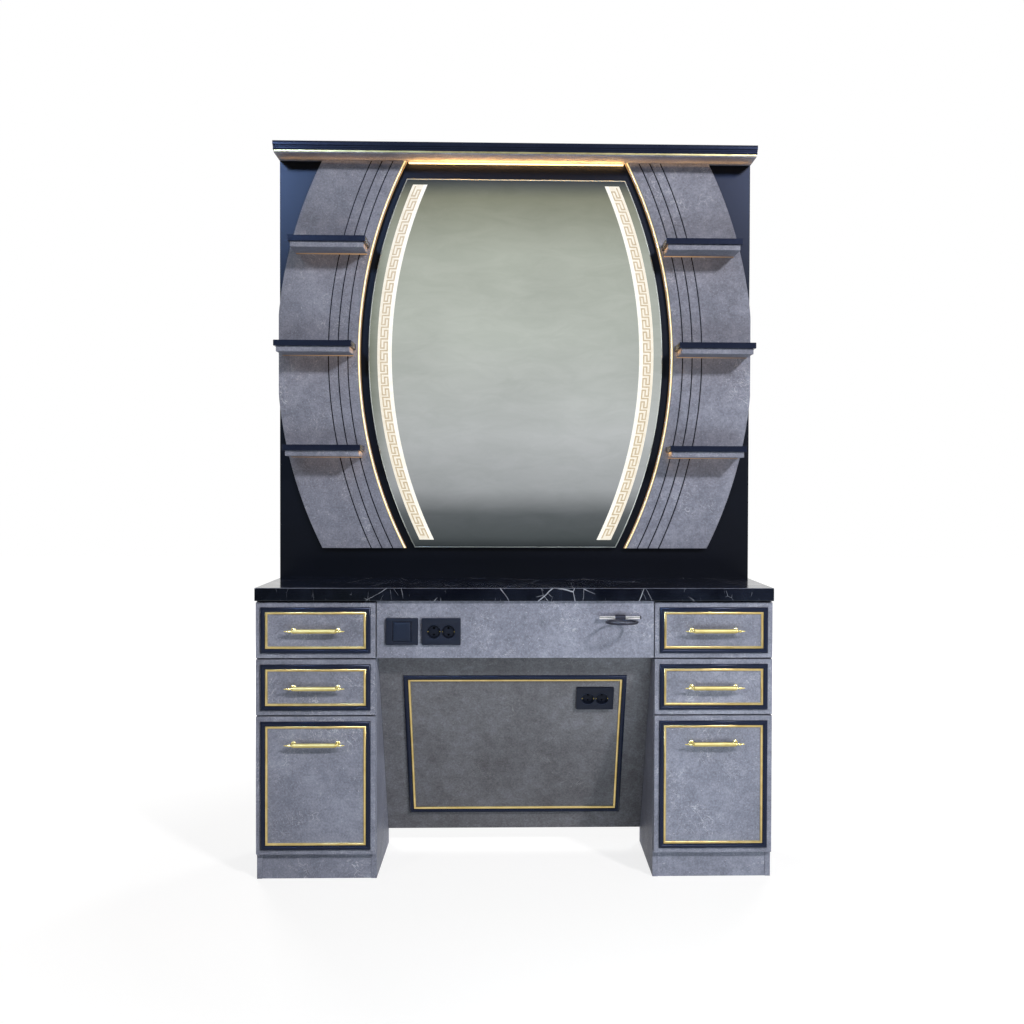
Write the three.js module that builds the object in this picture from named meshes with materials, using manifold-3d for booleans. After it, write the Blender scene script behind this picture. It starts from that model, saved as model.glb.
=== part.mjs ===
// Salon styling station: a worktop on two drawer pedestals, with a mirror tower standing behind it.
// Millimetres, +Z up, front towards -Y, origin on the floor at the centre of the footprint box.
// Inside the station group Y is counted from the worktop's front edge towards the wall.
import * as THREE from 'three';
import { mergeVertices } from 'three/addons/utils/BufferGeometryUtils.js';
import Module from 'manifold-3d';

const wasm = await Module();
wasm.setup();

// Fits shared by the whole assembly
const jointGap = 0.3; // between pieces that are glued or screwed together
const joinDepth = 1; // how far two lumps of one piece run into each other

// Worktop
const worktopWidth = 1500;
const worktopHeight = 850; // floor to the upper face
const worktopThickness = 38;
const worktopDepth = 350; // front edge to the tower's face

// Pedestals
const pedestalWidth = 347;
const sideThickness = 16;
const plinthHeight = 72;
const plinthThickness = 16;
const plinthSetback = 2; // behind the side boards' front edges
const plinthReveal = 5; // dark gap between the deepest front and the plinth
const pedestalBackThickness = 3;

// Drawer fronts
const frontSetback = 12; // worktop's front edge to the fronts' faces
const frontThickness = 18;
const frontBumperGap = 1.5; // closed front to the side boards' edges
const frontSideReveal = 1.5;
const frontTopGap = 5;
const frontSpacing = 4;
const smallFrontHeight = 161; // the deep front below takes the rest

// Drawer boxes and the ledges that they run on
const boxLength = 300;
const boxWall = 12;
const boxFloor = 6;
const boxLift = 20; // front's lower edge to the box's underside
const boxHeadroom = 30; // box's rim to the front's upper edge
const railWidth = 11;
const railHeight = 14;
const railLength = 306;
const railSideClearance = 1.5;
const runnerLift = 30; // box's underside to the runner lip's underside
const runnerThickness = 3;
const runnerOverlap = 9; // how far the lip lies over the ledge
const runnerClearance = 0.3;

// Picture-frame mouldings
const mouldingWidth = 13;
const mouldingHeight = 8;
const slipWidth = 7; // the narrow inner slip
const slipHeight = 4;
const mouldingMargin = 14; // front's edge to the moulding

// Drawer handles
const handleLength = 174;
const handlePostSpacing = 128;
const handlePostRadius = 3.5;
const handleStandoff = 26; // front's face to the bar's axis
const handleBarRadius = 6;
const handleBarMargin = 5; // plain neck each side of a post
const handleNeckRadius = 3.8;
const handleCollarRadius = 6.4;
const handleTipRadius = 1.2;
const deepHandleDrop = 78; // deep front's upper edge to the bar

// Apron between the pedestals
const apronHeight = 166;
const apronThickness = 18;
const apronEndGap = 1.5;

// Sloping modesty panel at the back of the knee space
const modestyThickness = 16;
const modestyTopSetback = 48; // worktop's front edge to the panel's upper front edge
const modestyTopDrop = 137; // worktop's underside to the panel's upper edge
const modestyFootSetback = 335;
const modestyFootHeight = 50;
const modestyFrameSideMargin = 71;
const modestyFrameTopMargin = 102;
const modestyFrameFootMargin = 68;

// Switch and sockets
const plateHeight = 77;
const plateThickness = 9;
const plateDrop = 88.5; // worktop's underside to the plates' centre
const switchPlateWidth = 93;
const switchEndMargin = 75; // left pedestal to the switch's middle
const rockerWidth = 51;
const rockerHeight = 54;
const rockerThickness = 6;
const rockerSideClearance = 0.4;
const rockerEndClearance = 0.6;
const rockerDepth = 6; // apron's face to the rocker's axis
const rockerTilt = 4; // degrees each way from level
const socketPlateWidth = 112;
const plateSpacing = 10.5; // between the switch's and the socket's plates
const socketBodyWidth = 98;
const socketBodyHeight = 56;
const socketBodyDepth = 20; // behind the plate
const socketCutoutClearance = 0.5;
const socketSpacing = 42;
const socketRadius = 19.5;
const socketRecessDepth = 16;
const pinSpacing = 19;
const pinHoleRadius = 2.6;
const pinHoleDepth = 7;
const kneeSocketSideMargin = 17; // to the moulding's inner edge
const kneeSocketTopMargin = 21.5;

// Ring that holds a hair dryer
const holderEndMargin = 101; // right pedestal to the middle of the bar
const holderDrop = 47; // worktop's underside to the bar
const holderBarLength = 122;
const holderBarRadius = 5.5;
const holderStandoff = 16; // apron's face to the bar's axis
const holderPostSpacing = 92;
const holderPostRadius = 4.5;
const hubLength = 30;
const hubWall = 3;
const ringRadius = 43.5; // to the middle of the ring's wire
const ringWireRadius = 3.5;
const ringDrop = 7; // bar's axis to the ring's plane
const ringReach = 7; // bar's axis to the ring's nearest middle line

// Tower
const towerThickness = 18;
const towerLap = 172; // how far the panel runs down behind the pedestals
const soffitHeight = 2173;
const soffitThickness = 9;
const crownThickness = 28;
const crownReach = 92; // tower's face to the crown's front
const crownOverhang = 4;
const crownEdgeRadius = 4;
const crownGrooveWidth = 3;
const soffitSetback = 2;
const crownLightWidth = 12;
const crownLightHeight = 7;
const crownLightEndGap = 6; // least space to the lights along the side panels

// Curved side panels, with light along their inner edges
const bulgeRise = 709; // worktop to the widest level of every arc
const splashHeight = 96; // bare strip of the tower above the worktop
const sidePanelThickness = 18;
const innerEdgeRadius = 1360;
const sidePanelWidest = 248; // visible width at the widest level
const outerEdgeRadius = 1380;
const outerEdgeOverrun = 6; // how far the outer arc would pass the tower's edge
const grooveCount = 3;
const groovePitch = 30.6;
const grooveWidth = 3.6;
const grooveDepth = 3;
const edgeLightWidth = 6;
const edgeLightDepth = 16;

// Mirror
const mirrorRadius = 1344;
const mirrorSideGap = 35; // side panel's inner edge to the mirror at the widest level
const mirrorFoot = 98; // worktop to the mirror's lower edge
const mirrorHeadGap = 57; // mirror's upper edge to the soffit
const mirrorThickness = 5;
const backingThickness = 15;
const backingInset = 80;
const backingEndInset = 30;

// Shelves on the side panels
const shelfLength = 238;
const shelfDepth = 107;
const shelfThickness = 18;
const shelfInset = 7; // lower board behind the upper board's edges
const shelfCarrierThickness = 17;
const lowShelfRise = 420; // worktop to the lowest shelf's upper face
const shelfPitch = 321;

const arcSteps = 28;
const roundSteps = 24;
const handleSteps = 12;

// Heights and depths that follow from the sizes above
const worktopUnderside = worktopHeight - worktopThickness;
const halfWidth = worktopWidth / 2;
const kneeHalfWidth = halfWidth - pedestalWidth;
const pedestalTop = worktopUnderside - jointGap;
const pedestalFront = frontSetback + frontThickness + frontBumperGap;
const pedestalRear = worktopDepth - jointGap;
const frontsTop = worktopUnderside - frontTopGap;
const deepFrontTop = frontsTop - 2 * (smallFrontHeight + frontSpacing);
const deepFrontHeight = deepFrontTop - plinthHeight - plinthReveal;
const bulgeHeight = worktopHeight + bulgeRise;
const innerEdgeWidest = halfWidth - sidePanelWidest;
const outerEdgeWidest = halfWidth + outerEdgeOverrun;
const mirrorWidest = innerEdgeWidest - mirrorSideGap;
const sidePanelFoot = worktopHeight + splashHeight;
const sidePanelTop = soffitHeight - jointGap;
const sidePanelFace = worktopDepth - jointGap - sidePanelThickness;
const towerRear = worktopDepth + towerThickness;
const towerTop = soffitHeight + soffitThickness;

// Finishes
const greyStone = { color: 0x74737a, roughness: 0.5, metalness: 0 };
const kneeStone = { color: 0x55524f, roughness: 0.5, metalness: 0 };
const blackMarble = { color: 0x0b0c12, roughness: 0.12, metalness: 0 };
const navyBlack = { color: 0x161b2b, roughness: 0.35, metalness: 0 };
const towerBlack = { color: 0x14161e, roughness: 0.4, metalness: 0 };
const brass = { color: 0xcfae4e, roughness: 0.3, metalness: 1 };
const chrome = { color: 0xd8dadd, roughness: 0.08, metalness: 1 };
const silvered = { color: 0xc9cec8, roughness: 0.02, metalness: 1 };
const warmLight = { color: 0xffe3a6, roughness: 0.5, metalness: 0, emissive: 0xffc66a };
const switchBlack = { color: 0x14171f, roughness: 0.45, metalness: 0 };
const boxWhite = { color: 0xd9d8d4, roughness: 0.6, metalness: 0 };
const backBoard = { color: 0x8a8780, roughness: 0.8, metalness: 0 };

const station = new THREE.Group();

function solidFrom(geometry) {
  const bare = geometry.clone();
  bare.deleteAttribute('normal');
  bare.deleteAttribute('uv');
  const merged = mergeVertices(bare, 1e-4);
  const vertProperties = new Float32Array(merged.attributes.position.array);
  const triVerts = new Uint32Array(merged.index.array);
  return new wasm.Manifold(new wasm.Mesh({ numProp: 3, vertProperties, triVerts }));
}

function geometryFrom(solid) {
  const mesh = solid.getMesh();
  const geometry = new THREE.BufferGeometry();
  geometry.setAttribute('position', new THREE.BufferAttribute(mesh.vertProperties, 3));
  geometry.setIndex(new THREE.BufferAttribute(mesh.triVerts, 1));
  geometry.computeVertexNormals();
  return geometry;
}

function join(...geometries) {
  return geometryFrom(geometries.map(solidFrom).reduce((whole, lump) => whole.add(lump)));
}

function cut(geometry, ...tools) {
  return geometryFrom(tools.map(solidFrom).reduce((left, tool) => left.subtract(tool), solidFrom(geometry)));
}

function keepInside(geometry, limit) {
  return geometryFrom(solidFrom(geometry).intersect(solidFrom(limit)));
}

// A block between two values on each axis
function block([x0, x1], [y0, y1], [z0, z1]) {
  const geometry = new THREE.BoxGeometry(x1 - x0, y1 - y0, z1 - z0);
  return geometry.translate((x0 + x1) / 2, (y0 + y1) / 2, (z0 + z1) / 2);
}

// A plate from an outline of [x, z] points, its front face at y0
function plate(outline, y0, thickness) {
  const shape = new THREE.Shape(outline.map(([x, z]) => new THREE.Vector2(x, z)));
  const geometry = new THREE.ExtrudeGeometry(shape, { depth: thickness, bevelEnabled: false });
  return geometry.rotateX(Math.PI / 2).translate(0, y0 + thickness, 0);
}

function rodX(radius, length, steps = roundSteps) {
  return new THREE.CylinderGeometry(radius, radius, length, steps).rotateZ(Math.PI / 2);
}

function rodY(radius, [y0, y1], steps = roundSteps) {
  return new THREE.CylinderGeometry(radius, radius, y1 - y0, steps).translate(0, (y0 + y1) / 2, 0);
}

function addPiece(parent, name, geometry, finish) {
  const mesh = new THREE.Mesh(geometry, new THREE.MeshStandardMaterial(finish));
  mesh.name = name;
  parent.add(mesh);
  return mesh;
}

// Distance from the station's middle to an arc edge at one height
function arcReach(radius, widest, z) {
  return Math.sqrt(radius ** 2 - (z - bulgeHeight) ** 2) - (radius - widest);
}

// Points up an arc edge, between two heights
function arcEdge(radius, widest, zLow, zHigh) {
  const low = Math.asin((zLow - bulgeHeight) / radius);
  const high = Math.asin((zHigh - bulgeHeight) / radius);
  return Array.from({ length: arcSteps + 1 }, (_, step) => {
    const angle = low + ((high - low) * step) / arcSteps;
    return [radius * Math.cos(angle) - (radius - widest), bulgeHeight + radius * Math.sin(angle)];
  });
}

// Outline between an inner and an outer arc on one side of the station
function crescent(side, inner, outer) {
  return [...inner, ...outer.reverse()].map(([x, z]) => [side * x, z]);
}

function arcBand(side, radius, widest, width, zLow, zHigh) {
  const inner = arcEdge(radius, widest, zLow, zHigh);
  const outer = arcEdge(radius + width, widest + width, zLow, zHigh);
  return crescent(side, inner, outer);
}

// Barrel-shaped outline with an arc on each side
function barrel(radius, widest, zLow, zHigh) {
  const right = arcEdge(radius, widest, zLow, zHigh);
  const left = arcEdge(radius, widest, zLow, zHigh).reverse();
  return [...right, ...left.map(([x, z]) => [-x, z])];
}

// A mitred frame: its section is a loop of [inset, height] points, swept round a width by height rectangle.
// Its back lies on y = 0 and its relief stands towards -Y.
function mitredFrame(width, height, section) {
  const corners = [[-1, -1], [1, -1], [1, 1], [-1, 1]];
  const positions = corners.flatMap(([signX, signZ]) => section.flatMap(([inset, relief]) =>
    [signX * (width / 2 - inset), -relief, signZ * (height / 2 - inset)]));
  const index = [];
  corners.forEach((_, corner) => {
    section.forEach((__, point) => {
      const here = corner * section.length;
      const next = ((corner + 1) % corners.length) * section.length;
      const after = (point + 1) % section.length;
      index.push(here + point, next + point, next + after, here + point, next + after, here + after);
    });
  });
  const geometry = new THREE.BufferGeometry();
  geometry.setAttribute('position', new THREE.Float32BufferAttribute(positions, 3));
  geometry.setIndex(index);
  geometry.computeVertexNormals();
  return geometry;
}

// Rounded outer bead, a flat, then the lower inner slip
const mouldingSection = [
  [0, 0],
  [0, 0.55 * mouldingHeight],
  [0.15 * mouldingWidth, 0.85 * mouldingHeight],
  [0.4 * mouldingWidth, mouldingHeight],
  [0.75 * mouldingWidth, 0.9 * mouldingHeight],
  [mouldingWidth, 1.2 * slipHeight],
  [mouldingWidth + slipWidth, slipHeight],
  [mouldingWidth + slipWidth, 0],
];

// Worktop
addPiece(station, 'worktop',
  block([-halfWidth, halfWidth], [0, pedestalRear], [worktopUnderside, worktopHeight]), blackMarble);

// Handle: a bar turned with a collar over each post and a tapered finial past it
function handleGeometry() {
  const end = handleLength / 2;
  const post = handlePostSpacing / 2;
  const half = [
    [0, end],
    [handleTipRadius, end],
    [handleNeckRadius, post + handleBarMargin],
    [handleNeckRadius, post + handlePostRadius],
    [handleCollarRadius, post + handlePostRadius / 2],
    [handleCollarRadius, post - handlePostRadius / 2],
    [handleNeckRadius, post - handlePostRadius],
    [handleNeckRadius, post - handleBarMargin],
    [handleBarRadius, post - handleBarMargin - handleTipRadius],
  ];
  const far = half.map(([radius, x]) => new THREE.Vector2(radius, -x));
  const near = half.map(([radius, x]) => new THREE.Vector2(radius, x)).reverse();
  const bar = new THREE.LatheGeometry([...far, ...near], handleSteps).rotateZ(-Math.PI / 2);
  const posts = [-post, post].map((x) =>
    rodY(handlePostRadius, [0, handleStandoff - jointGap], handleSteps).translate(x, 0, 0));
  return join(bar, ...posts);
}

// Open-topped drawer box with a runner lip along each side, its front at y = 0 and its underside at z = 0
function drawerBoxGeometry(width, height) {
  const half = width / 2;
  const lipReach = half + railSideClearance + runnerOverlap;
  const lipHeights = [runnerLift, runnerLift + runnerThickness];
  const hollow = block([-half + boxWall, half - boxWall], [boxWall, boxLength - boxWall],
    [boxFloor, height + joinDepth]);
  const shell = cut(block([-half, half], [0, boxLength], [0, height]), hollow);
  const lips = [-1, 1].map((side) => {
    const ends = [side * (half - joinDepth), side * lipReach].sort((a, b) => a - b);
    return block(ends, [0, boxLength], lipHeights);
  });
  return join(shell, ...lips);
}

const frontWidth = pedestalWidth - 2 * frontSideReveal;
const boxWidth = pedestalWidth - 2 * (sideThickness + railWidth + railSideClearance);
const boxFront = frontSetback + frontThickness + jointGap;
const drawers = [
  { name: 'top', top: frontsTop, height: smallFrontHeight, handleDrop: smallFrontHeight / 2 },
  { name: 'middle', top: frontsTop - smallFrontHeight - frontSpacing, height: smallFrontHeight,
    handleDrop: smallFrontHeight / 2 },
  { name: 'deep', top: deepFrontTop, height: deepFrontHeight, handleDrop: deepHandleDrop },
];

function railTopOf(drawer) {
  return drawer.top - drawer.height + boxLift + runnerLift - runnerClearance;
}

// A pedestal's side board with one ledge for each drawer, on the face that looks into the pedestal
function sideBoardGeometry(outerX, inward) {
  const faceX = outerX + inward * sideThickness;
  const board = block([outerX, faceX].sort((a, b) => a - b), [pedestalFront, pedestalRear], [0, pedestalTop]);
  const rails = drawers.map((drawer) => {
    const ends = [faceX - inward * joinDepth, faceX + inward * railWidth].sort((a, b) => a - b);
    const railTop = railTopOf(drawer);
    return block(ends, [pedestalFront, pedestalFront + railLength], [railTop - railHeight, railTop]);
  });
  return join(board, ...rails);
}

function addDrawer(drawer, side, sideName) {
  const group = new THREE.Group();
  group.position.set(side * (halfWidth - pedestalWidth / 2), 0, 0);
  station.add(group);
  const bottom = drawer.top - drawer.height;
  const prefix = `${sideName}_${drawer.name}_drawer`;
  const face = [frontSetback, frontSetback + frontThickness];
  addPiece(group, `${prefix}_front`,
    block([-frontWidth / 2, frontWidth / 2], face, [bottom, drawer.top]), greyStone);
  const frame = mitredFrame(frontWidth - 2 * mouldingMargin, drawer.height - 2 * mouldingMargin,
    mouldingSection);
  const moulding = addPiece(group, `${prefix}_moulding`, frame, navyBlack);
  moulding.position.set(0, frontSetback - jointGap, bottom + drawer.height / 2);
  const handle = addPiece(group, `${prefix}_handle`, handleGeometry(), brass);
  handle.position.set(0, frontSetback - handleStandoff, drawer.top - drawer.handleDrop);
  const boxHeight = drawer.height - boxLift - boxHeadroom;
  const box = addPiece(group, `${prefix}_box`, drawerBoxGeometry(boxWidth, boxHeight), boxWhite);
  box.position.set(0, boxFront, bottom + boxLift);
}

function addPedestal(side, sideName) {
  const outer = side * halfWidth;
  const inner = side * kneeHalfWidth;
  addPiece(station, `${sideName}_outer_side`, sideBoardGeometry(outer, -side), greyStone);
  addPiece(station, `${sideName}_inner_side`, sideBoardGeometry(inner, side), greyStone);
  const clear = sideThickness + jointGap;
  const span = [outer - side * clear, inner + side * clear].sort((a, b) => a - b);
  const plinthFront = pedestalFront + plinthSetback;
  const floorTop = plinthHeight + jointGap + sideThickness;
  addPiece(station, `${sideName}_plinth`,
    block(span, [plinthFront, plinthFront + plinthThickness], [0, plinthHeight]), greyStone);
  addPiece(station, `${sideName}_floor_board`,
    block(span, [pedestalFront, pedestalRear], [plinthHeight + jointGap, floorTop]), boxWhite);
  addPiece(station, `${sideName}_back_board`,
    block(span, [pedestalRear - pedestalBackThickness, pedestalRear], [floorTop + jointGap, pedestalTop]),
    backBoard);
  drawers.forEach((drawer) => addDrawer(drawer, side, sideName));
}

addPedestal(-1, 'left');
addPedestal(1, 'right');

// Double socket: a plate with a body behind it, two round wells and a pair of pin holes in each.
// Its plate stands in front of y = 0, the face that it is fitted to.
function socketGeometry() {
  const plateFront = -jointGap - plateThickness;
  const wellFloor = plateFront + socketRecessDepth;
  const cover = block([-socketPlateWidth / 2, socketPlateWidth / 2], [plateFront, -jointGap],
    [-plateHeight / 2, plateHeight / 2]);
  const body = block([-socketBodyWidth / 2, socketBodyWidth / 2], [-jointGap - joinDepth, socketBodyDepth],
    [-socketBodyHeight / 2, socketBodyHeight / 2]);
  const tools = [-1, 1].flatMap((half) => {
    const x = (half * socketSpacing) / 2;
    const well = rodY(socketRadius, [plateFront - joinDepth, wellFloor]).translate(x, 0, 0);
    const pins = [-1, 1].map((end) =>
      rodY(pinHoleRadius, [wellFloor - joinDepth, wellFloor + pinHoleDepth], roundSteps / 2)
        .translate(x, 0, (end * pinSpacing) / 2));
    return [well, ...pins];
  });
  return cut(join(cover, body), ...tools);
}

// Hole for a socket's body through a board that starts at y0
function socketCutout(x, z, y0, thickness) {
  const halfX = socketBodyWidth / 2 + socketCutoutClearance;
  const halfZ = socketBodyHeight / 2 + socketCutoutClearance;
  return block([x - halfX, x + halfX], [y0 - joinDepth, y0 + thickness + joinDepth], [z - halfZ, z + halfZ]);
}

// Apron with its switch, socket and dryer holder
const plateZ = worktopUnderside - plateDrop;
const switchX = switchEndMargin - kneeHalfWidth;
const socketX = switchX + plateSpacing + (switchPlateWidth + socketPlateWidth) / 2;
const apronHalfLength = kneeHalfWidth - apronEndGap;
const apronBoard = block([-apronHalfLength, apronHalfLength], [frontSetback, frontSetback + apronThickness],
  [worktopUnderside - apronHeight, pedestalTop]);
addPiece(station, 'apron',
  cut(apronBoard, socketCutout(socketX, plateZ, frontSetback, apronThickness)), greyStone);
addPiece(station, 'apron_socket', socketGeometry(), switchBlack).position.set(socketX, frontSetback, plateZ);

const rockerGapX = rockerWidth / 2 + rockerSideClearance;
const rockerGapZ = rockerHeight / 2 + rockerEndClearance;
const switchPlate = cut(
  block([-switchPlateWidth / 2, switchPlateWidth / 2], [-jointGap - plateThickness, -jointGap],
    [-plateHeight / 2, plateHeight / 2]),
  block([-rockerGapX, rockerGapX], [-plateThickness - joinDepth, joinDepth], [-rockerGapZ, rockerGapZ]));
addPiece(station, 'switch_plate', switchPlate, switchBlack).position.set(switchX, frontSetback, plateZ);
const rockerShape = new THREE.BoxGeometry(rockerWidth, rockerThickness, rockerHeight);
const rocker = addPiece(station, 'switch_rocker', rockerShape, switchBlack);
rocker.position.set(switchX, frontSetback - rockerDepth, plateZ);
rocker.rotation.x = THREE.MathUtils.degToRad(-rockerTilt);

const holderX = kneeHalfWidth - holderEndMargin;
const holderY = frontSetback - holderStandoff;
const holderZ = worktopUnderside - holderDrop;
const holderPosts = [-1, 1].map((side) =>
  rodY(holderPostRadius, [0, holderStandoff - jointGap], roundSteps / 2)
    .translate((side * holderPostSpacing) / 2, 0, 0));
addPiece(station, 'dryer_bar', join(rodX(holderBarRadius, holderBarLength), ...holderPosts), chrome)
  .position.set(holderX, holderY, holderZ);
const hubRadius = holderBarRadius + jointGap + hubWall;
const hubBore = rodX(holderBarRadius + jointGap, hubLength + 2 * joinDepth);
const ringCentre = -ringReach - ringRadius;
const ring = new THREE.TorusGeometry(ringRadius, ringWireRadius, handleSteps, 2 * roundSteps)
  .translate(0, ringCentre, -ringDrop);
addPiece(station, 'dryer_ring', cut(join(rodX(hubRadius, hubLength), ring), hubBore), switchBlack)
  .position.set(holderX, holderY, holderZ);

// Modesty panel, its moulding and its socket lean together: y is the depth from the panel's face
const modesty = new THREE.Group();
const modestyRun = modestyFootSetback - modestyTopSetback;
const modestyTopHeight = worktopUnderside - modestyTopDrop;
const modestyFall = modestyTopHeight - modestyFootHeight;
const modestyLength = Math.hypot(modestyRun, modestyFall);
modesty.position.set(0, modestyTopSetback, modestyTopHeight);
modesty.rotation.x = Math.atan2(modestyRun, modestyFall);
station.add(modesty);
const modestyHalfWidth = kneeHalfWidth - jointGap;
const frameWidth = mouldingWidth + slipWidth;
const kneeSocketX = kneeHalfWidth - modestyFrameSideMargin - frameWidth - kneeSocketSideMargin
  - socketPlateWidth / 2;
const kneeSocketDrop = modestyFrameTopMargin + frameWidth + kneeSocketTopMargin + plateHeight / 2;
const modestyBoard = block([-modestyHalfWidth, modestyHalfWidth], [0, modestyThickness], [-modestyLength, 0]);
addPiece(modesty, 'modesty_panel',
  cut(modestyBoard, socketCutout(kneeSocketX, -kneeSocketDrop, 0, modestyThickness)), kneeStone);
const modestyFrameHeight = modestyLength - modestyFrameTopMargin - modestyFrameFootMargin;
const modestyFrameWidth = 2 * (kneeHalfWidth - modestyFrameSideMargin);
const modestyFrame = mitredFrame(modestyFrameWidth, modestyFrameHeight, mouldingSection);
addPiece(modesty, 'modesty_moulding', modestyFrame, navyBlack)
  .position.set(0, -jointGap, -modestyFrameTopMargin - modestyFrameHeight / 2);
addPiece(modesty, 'knee_socket', socketGeometry(), switchBlack).position.set(kneeSocketX, 0, -kneeSocketDrop);

// Tower panel, screwed to the backs of the pedestals and the worktop
addPiece(station, 'tower_panel', block([-halfWidth, halfWidth], [worktopDepth, towerRear],
  [worktopUnderside - towerLap, towerTop - jointGap]), towerBlack);

// Crown: a board with a rounded, grooved front edge over a thin soffit with a light along its back
const crownFront = worktopDepth - crownReach;
const crownHalfWidth = halfWidth + crownOverhang;
const crownTop = towerTop + crownThickness;
const crownBoard = block([-crownHalfWidth, crownHalfWidth], [crownFront, towerRear], [towerTop, crownTop]);
const crownCutLength = 2 * (crownHalfWidth + joinDepth);
const crownArris = (z) => new THREE.BoxGeometry(crownCutLength, crownEdgeRadius, crownEdgeRadius)
  .rotateX(Math.PI / 4).translate(0, crownFront, z);
const crownGroove = block([-crownCutLength / 2, crownCutLength / 2],
  [crownFront - joinDepth, crownFront + crownGrooveWidth],
  [crownTop - crownThickness / 2, crownTop - crownThickness / 2 + crownGrooveWidth]);
addPiece(station, 'crown_board',
  cut(crownBoard, crownArris(crownTop), crownArris(towerTop), crownGroove), navyBlack);
addPiece(station, 'crown_soffit', block([-halfWidth, halfWidth], [crownFront + soffitSetback, pedestalRear],
  [soffitHeight, towerTop - jointGap]), greyStone);
const edgeLightOffset = edgeLightWidth + jointGap;
const crownLightRoom = arcReach(innerEdgeRadius - edgeLightOffset, innerEdgeWidest - edgeLightOffset,
  sidePanelTop);
const crownLightReach = Math.floor(crownLightRoom - crownLightEndGap); // cut to a whole millimetre
addPiece(station, 'crown_light', block([-crownLightReach, crownLightReach],
  [pedestalRear - crownLightWidth, pedestalRear],
  [soffitHeight - jointGap - crownLightHeight, soffitHeight - jointGap]), warmLight);

// Curved side panel: a crescent clipped at the tower's edge, with grooves that follow its inner edge
function sidePanelGeometry(side) {
  const inner = arcEdge(innerEdgeRadius, innerEdgeWidest, sidePanelFoot, sidePanelTop);
  const outer = arcEdge(outerEdgeRadius, outerEdgeWidest, sidePanelFoot, sidePanelTop);
  const blank = plate(crescent(side, inner, outer), sidePanelFace, sidePanelThickness);
  const limit = block([-halfWidth, halfWidth], [sidePanelFace - joinDepth, worktopDepth], [0, crownTop]);
  const grooves = Array.from({ length: grooveCount }, (_, step) => {
    const offset = (step + 1) * groovePitch - grooveWidth / 2;
    const band = arcBand(side, innerEdgeRadius + offset, innerEdgeWidest + offset, grooveWidth,
      sidePanelFoot - joinDepth, sidePanelTop + joinDepth);
    return plate(band, sidePanelFace - joinDepth, grooveDepth + joinDepth);
  });
  return cut(keepInside(blank, limit), ...grooves);
}

function edgeLightGeometry(side) {
  const band = arcBand(side, innerEdgeRadius - edgeLightOffset, innerEdgeWidest - edgeLightOffset,
    edgeLightWidth, sidePanelFoot, sidePanelTop);
  return plate(band, pedestalRear - edgeLightDepth, edgeLightDepth);
}

// Shelf: a board with a shorter carrier board glued under it, screwed to the side panel from behind
function shelfGeometry() {
  const half = shelfLength / 2;
  const upper = block([-half, half], [-shelfDepth, 0], [-shelfThickness, 0]);
  const carrier = block([-half + shelfInset, half - shelfInset], [-shelfDepth + shelfInset, 0],
    [-shelfThickness - shelfCarrierThickness, joinDepth - shelfThickness]);
  return join(upper, carrier);
}

const shelfNames = ['low', 'middle', 'high'];
[[-1, 'left'], [1, 'right']].forEach(([side, sideName]) => {
  addPiece(station, `${sideName}_side_panel`, sidePanelGeometry(side), greyStone);
  addPiece(station, `${sideName}_edge_light`, edgeLightGeometry(side), warmLight);
  shelfNames.forEach((shelfName, level) => {
    const z = worktopHeight + lowShelfRise + level * shelfPitch;
    const innerX = arcReach(innerEdgeRadius, innerEdgeWidest, z);
    const outerX = Math.min(arcReach(outerEdgeRadius, outerEdgeWidest, z), halfWidth);
    addPiece(station, `${sideName}_${shelfName}_shelf`, shelfGeometry(), navyBlack)
      .position.set((side * (innerX + outerX)) / 2, sidePanelFace - jointGap, z);
  });
});

// Mirror on its backing board
const mirrorLow = worktopHeight + mirrorFoot;
const mirrorHigh = soffitHeight - mirrorHeadGap;
const backingFront = pedestalRear - backingThickness;
const backingOutline = barrel(mirrorRadius - backingInset, mirrorWidest - backingInset,
  mirrorLow + backingEndInset, mirrorHigh - backingEndInset);
addPiece(station, 'mirror_backing', plate(backingOutline, backingFront, backingThickness), towerBlack);
addPiece(station, 'mirror', plate(barrel(mirrorRadius, mirrorWidest, mirrorLow, mirrorHigh),
  backingFront - jointGap - mirrorThickness, mirrorThickness), silvered);

// The footprint box runs from the dryer ring to the tower's back
const stationFront = holderY + ringCentre - ringRadius - ringWireRadius;
station.position.y = -(stationFront + towerRear) / 2;

export default station;
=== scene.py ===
import math

import bmesh
import bpy
from mathutils import Matrix, Vector


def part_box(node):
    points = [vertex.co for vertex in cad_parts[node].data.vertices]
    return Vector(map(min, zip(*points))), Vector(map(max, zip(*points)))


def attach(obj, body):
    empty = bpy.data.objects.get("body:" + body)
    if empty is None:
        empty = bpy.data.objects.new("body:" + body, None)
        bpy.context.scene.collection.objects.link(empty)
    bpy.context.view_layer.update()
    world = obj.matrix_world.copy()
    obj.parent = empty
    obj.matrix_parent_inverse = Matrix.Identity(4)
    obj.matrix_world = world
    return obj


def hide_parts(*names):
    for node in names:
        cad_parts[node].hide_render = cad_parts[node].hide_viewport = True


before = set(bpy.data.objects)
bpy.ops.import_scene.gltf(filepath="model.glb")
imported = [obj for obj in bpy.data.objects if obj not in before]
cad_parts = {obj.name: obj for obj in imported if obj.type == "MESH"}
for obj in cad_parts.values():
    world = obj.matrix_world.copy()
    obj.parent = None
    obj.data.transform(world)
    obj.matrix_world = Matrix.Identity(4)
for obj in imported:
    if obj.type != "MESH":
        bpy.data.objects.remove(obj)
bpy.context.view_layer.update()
scene = bpy.context.scene
scene.view_settings.view_transform = "Standard"
print("frame loaded with", len(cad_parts), "nodes")

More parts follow.
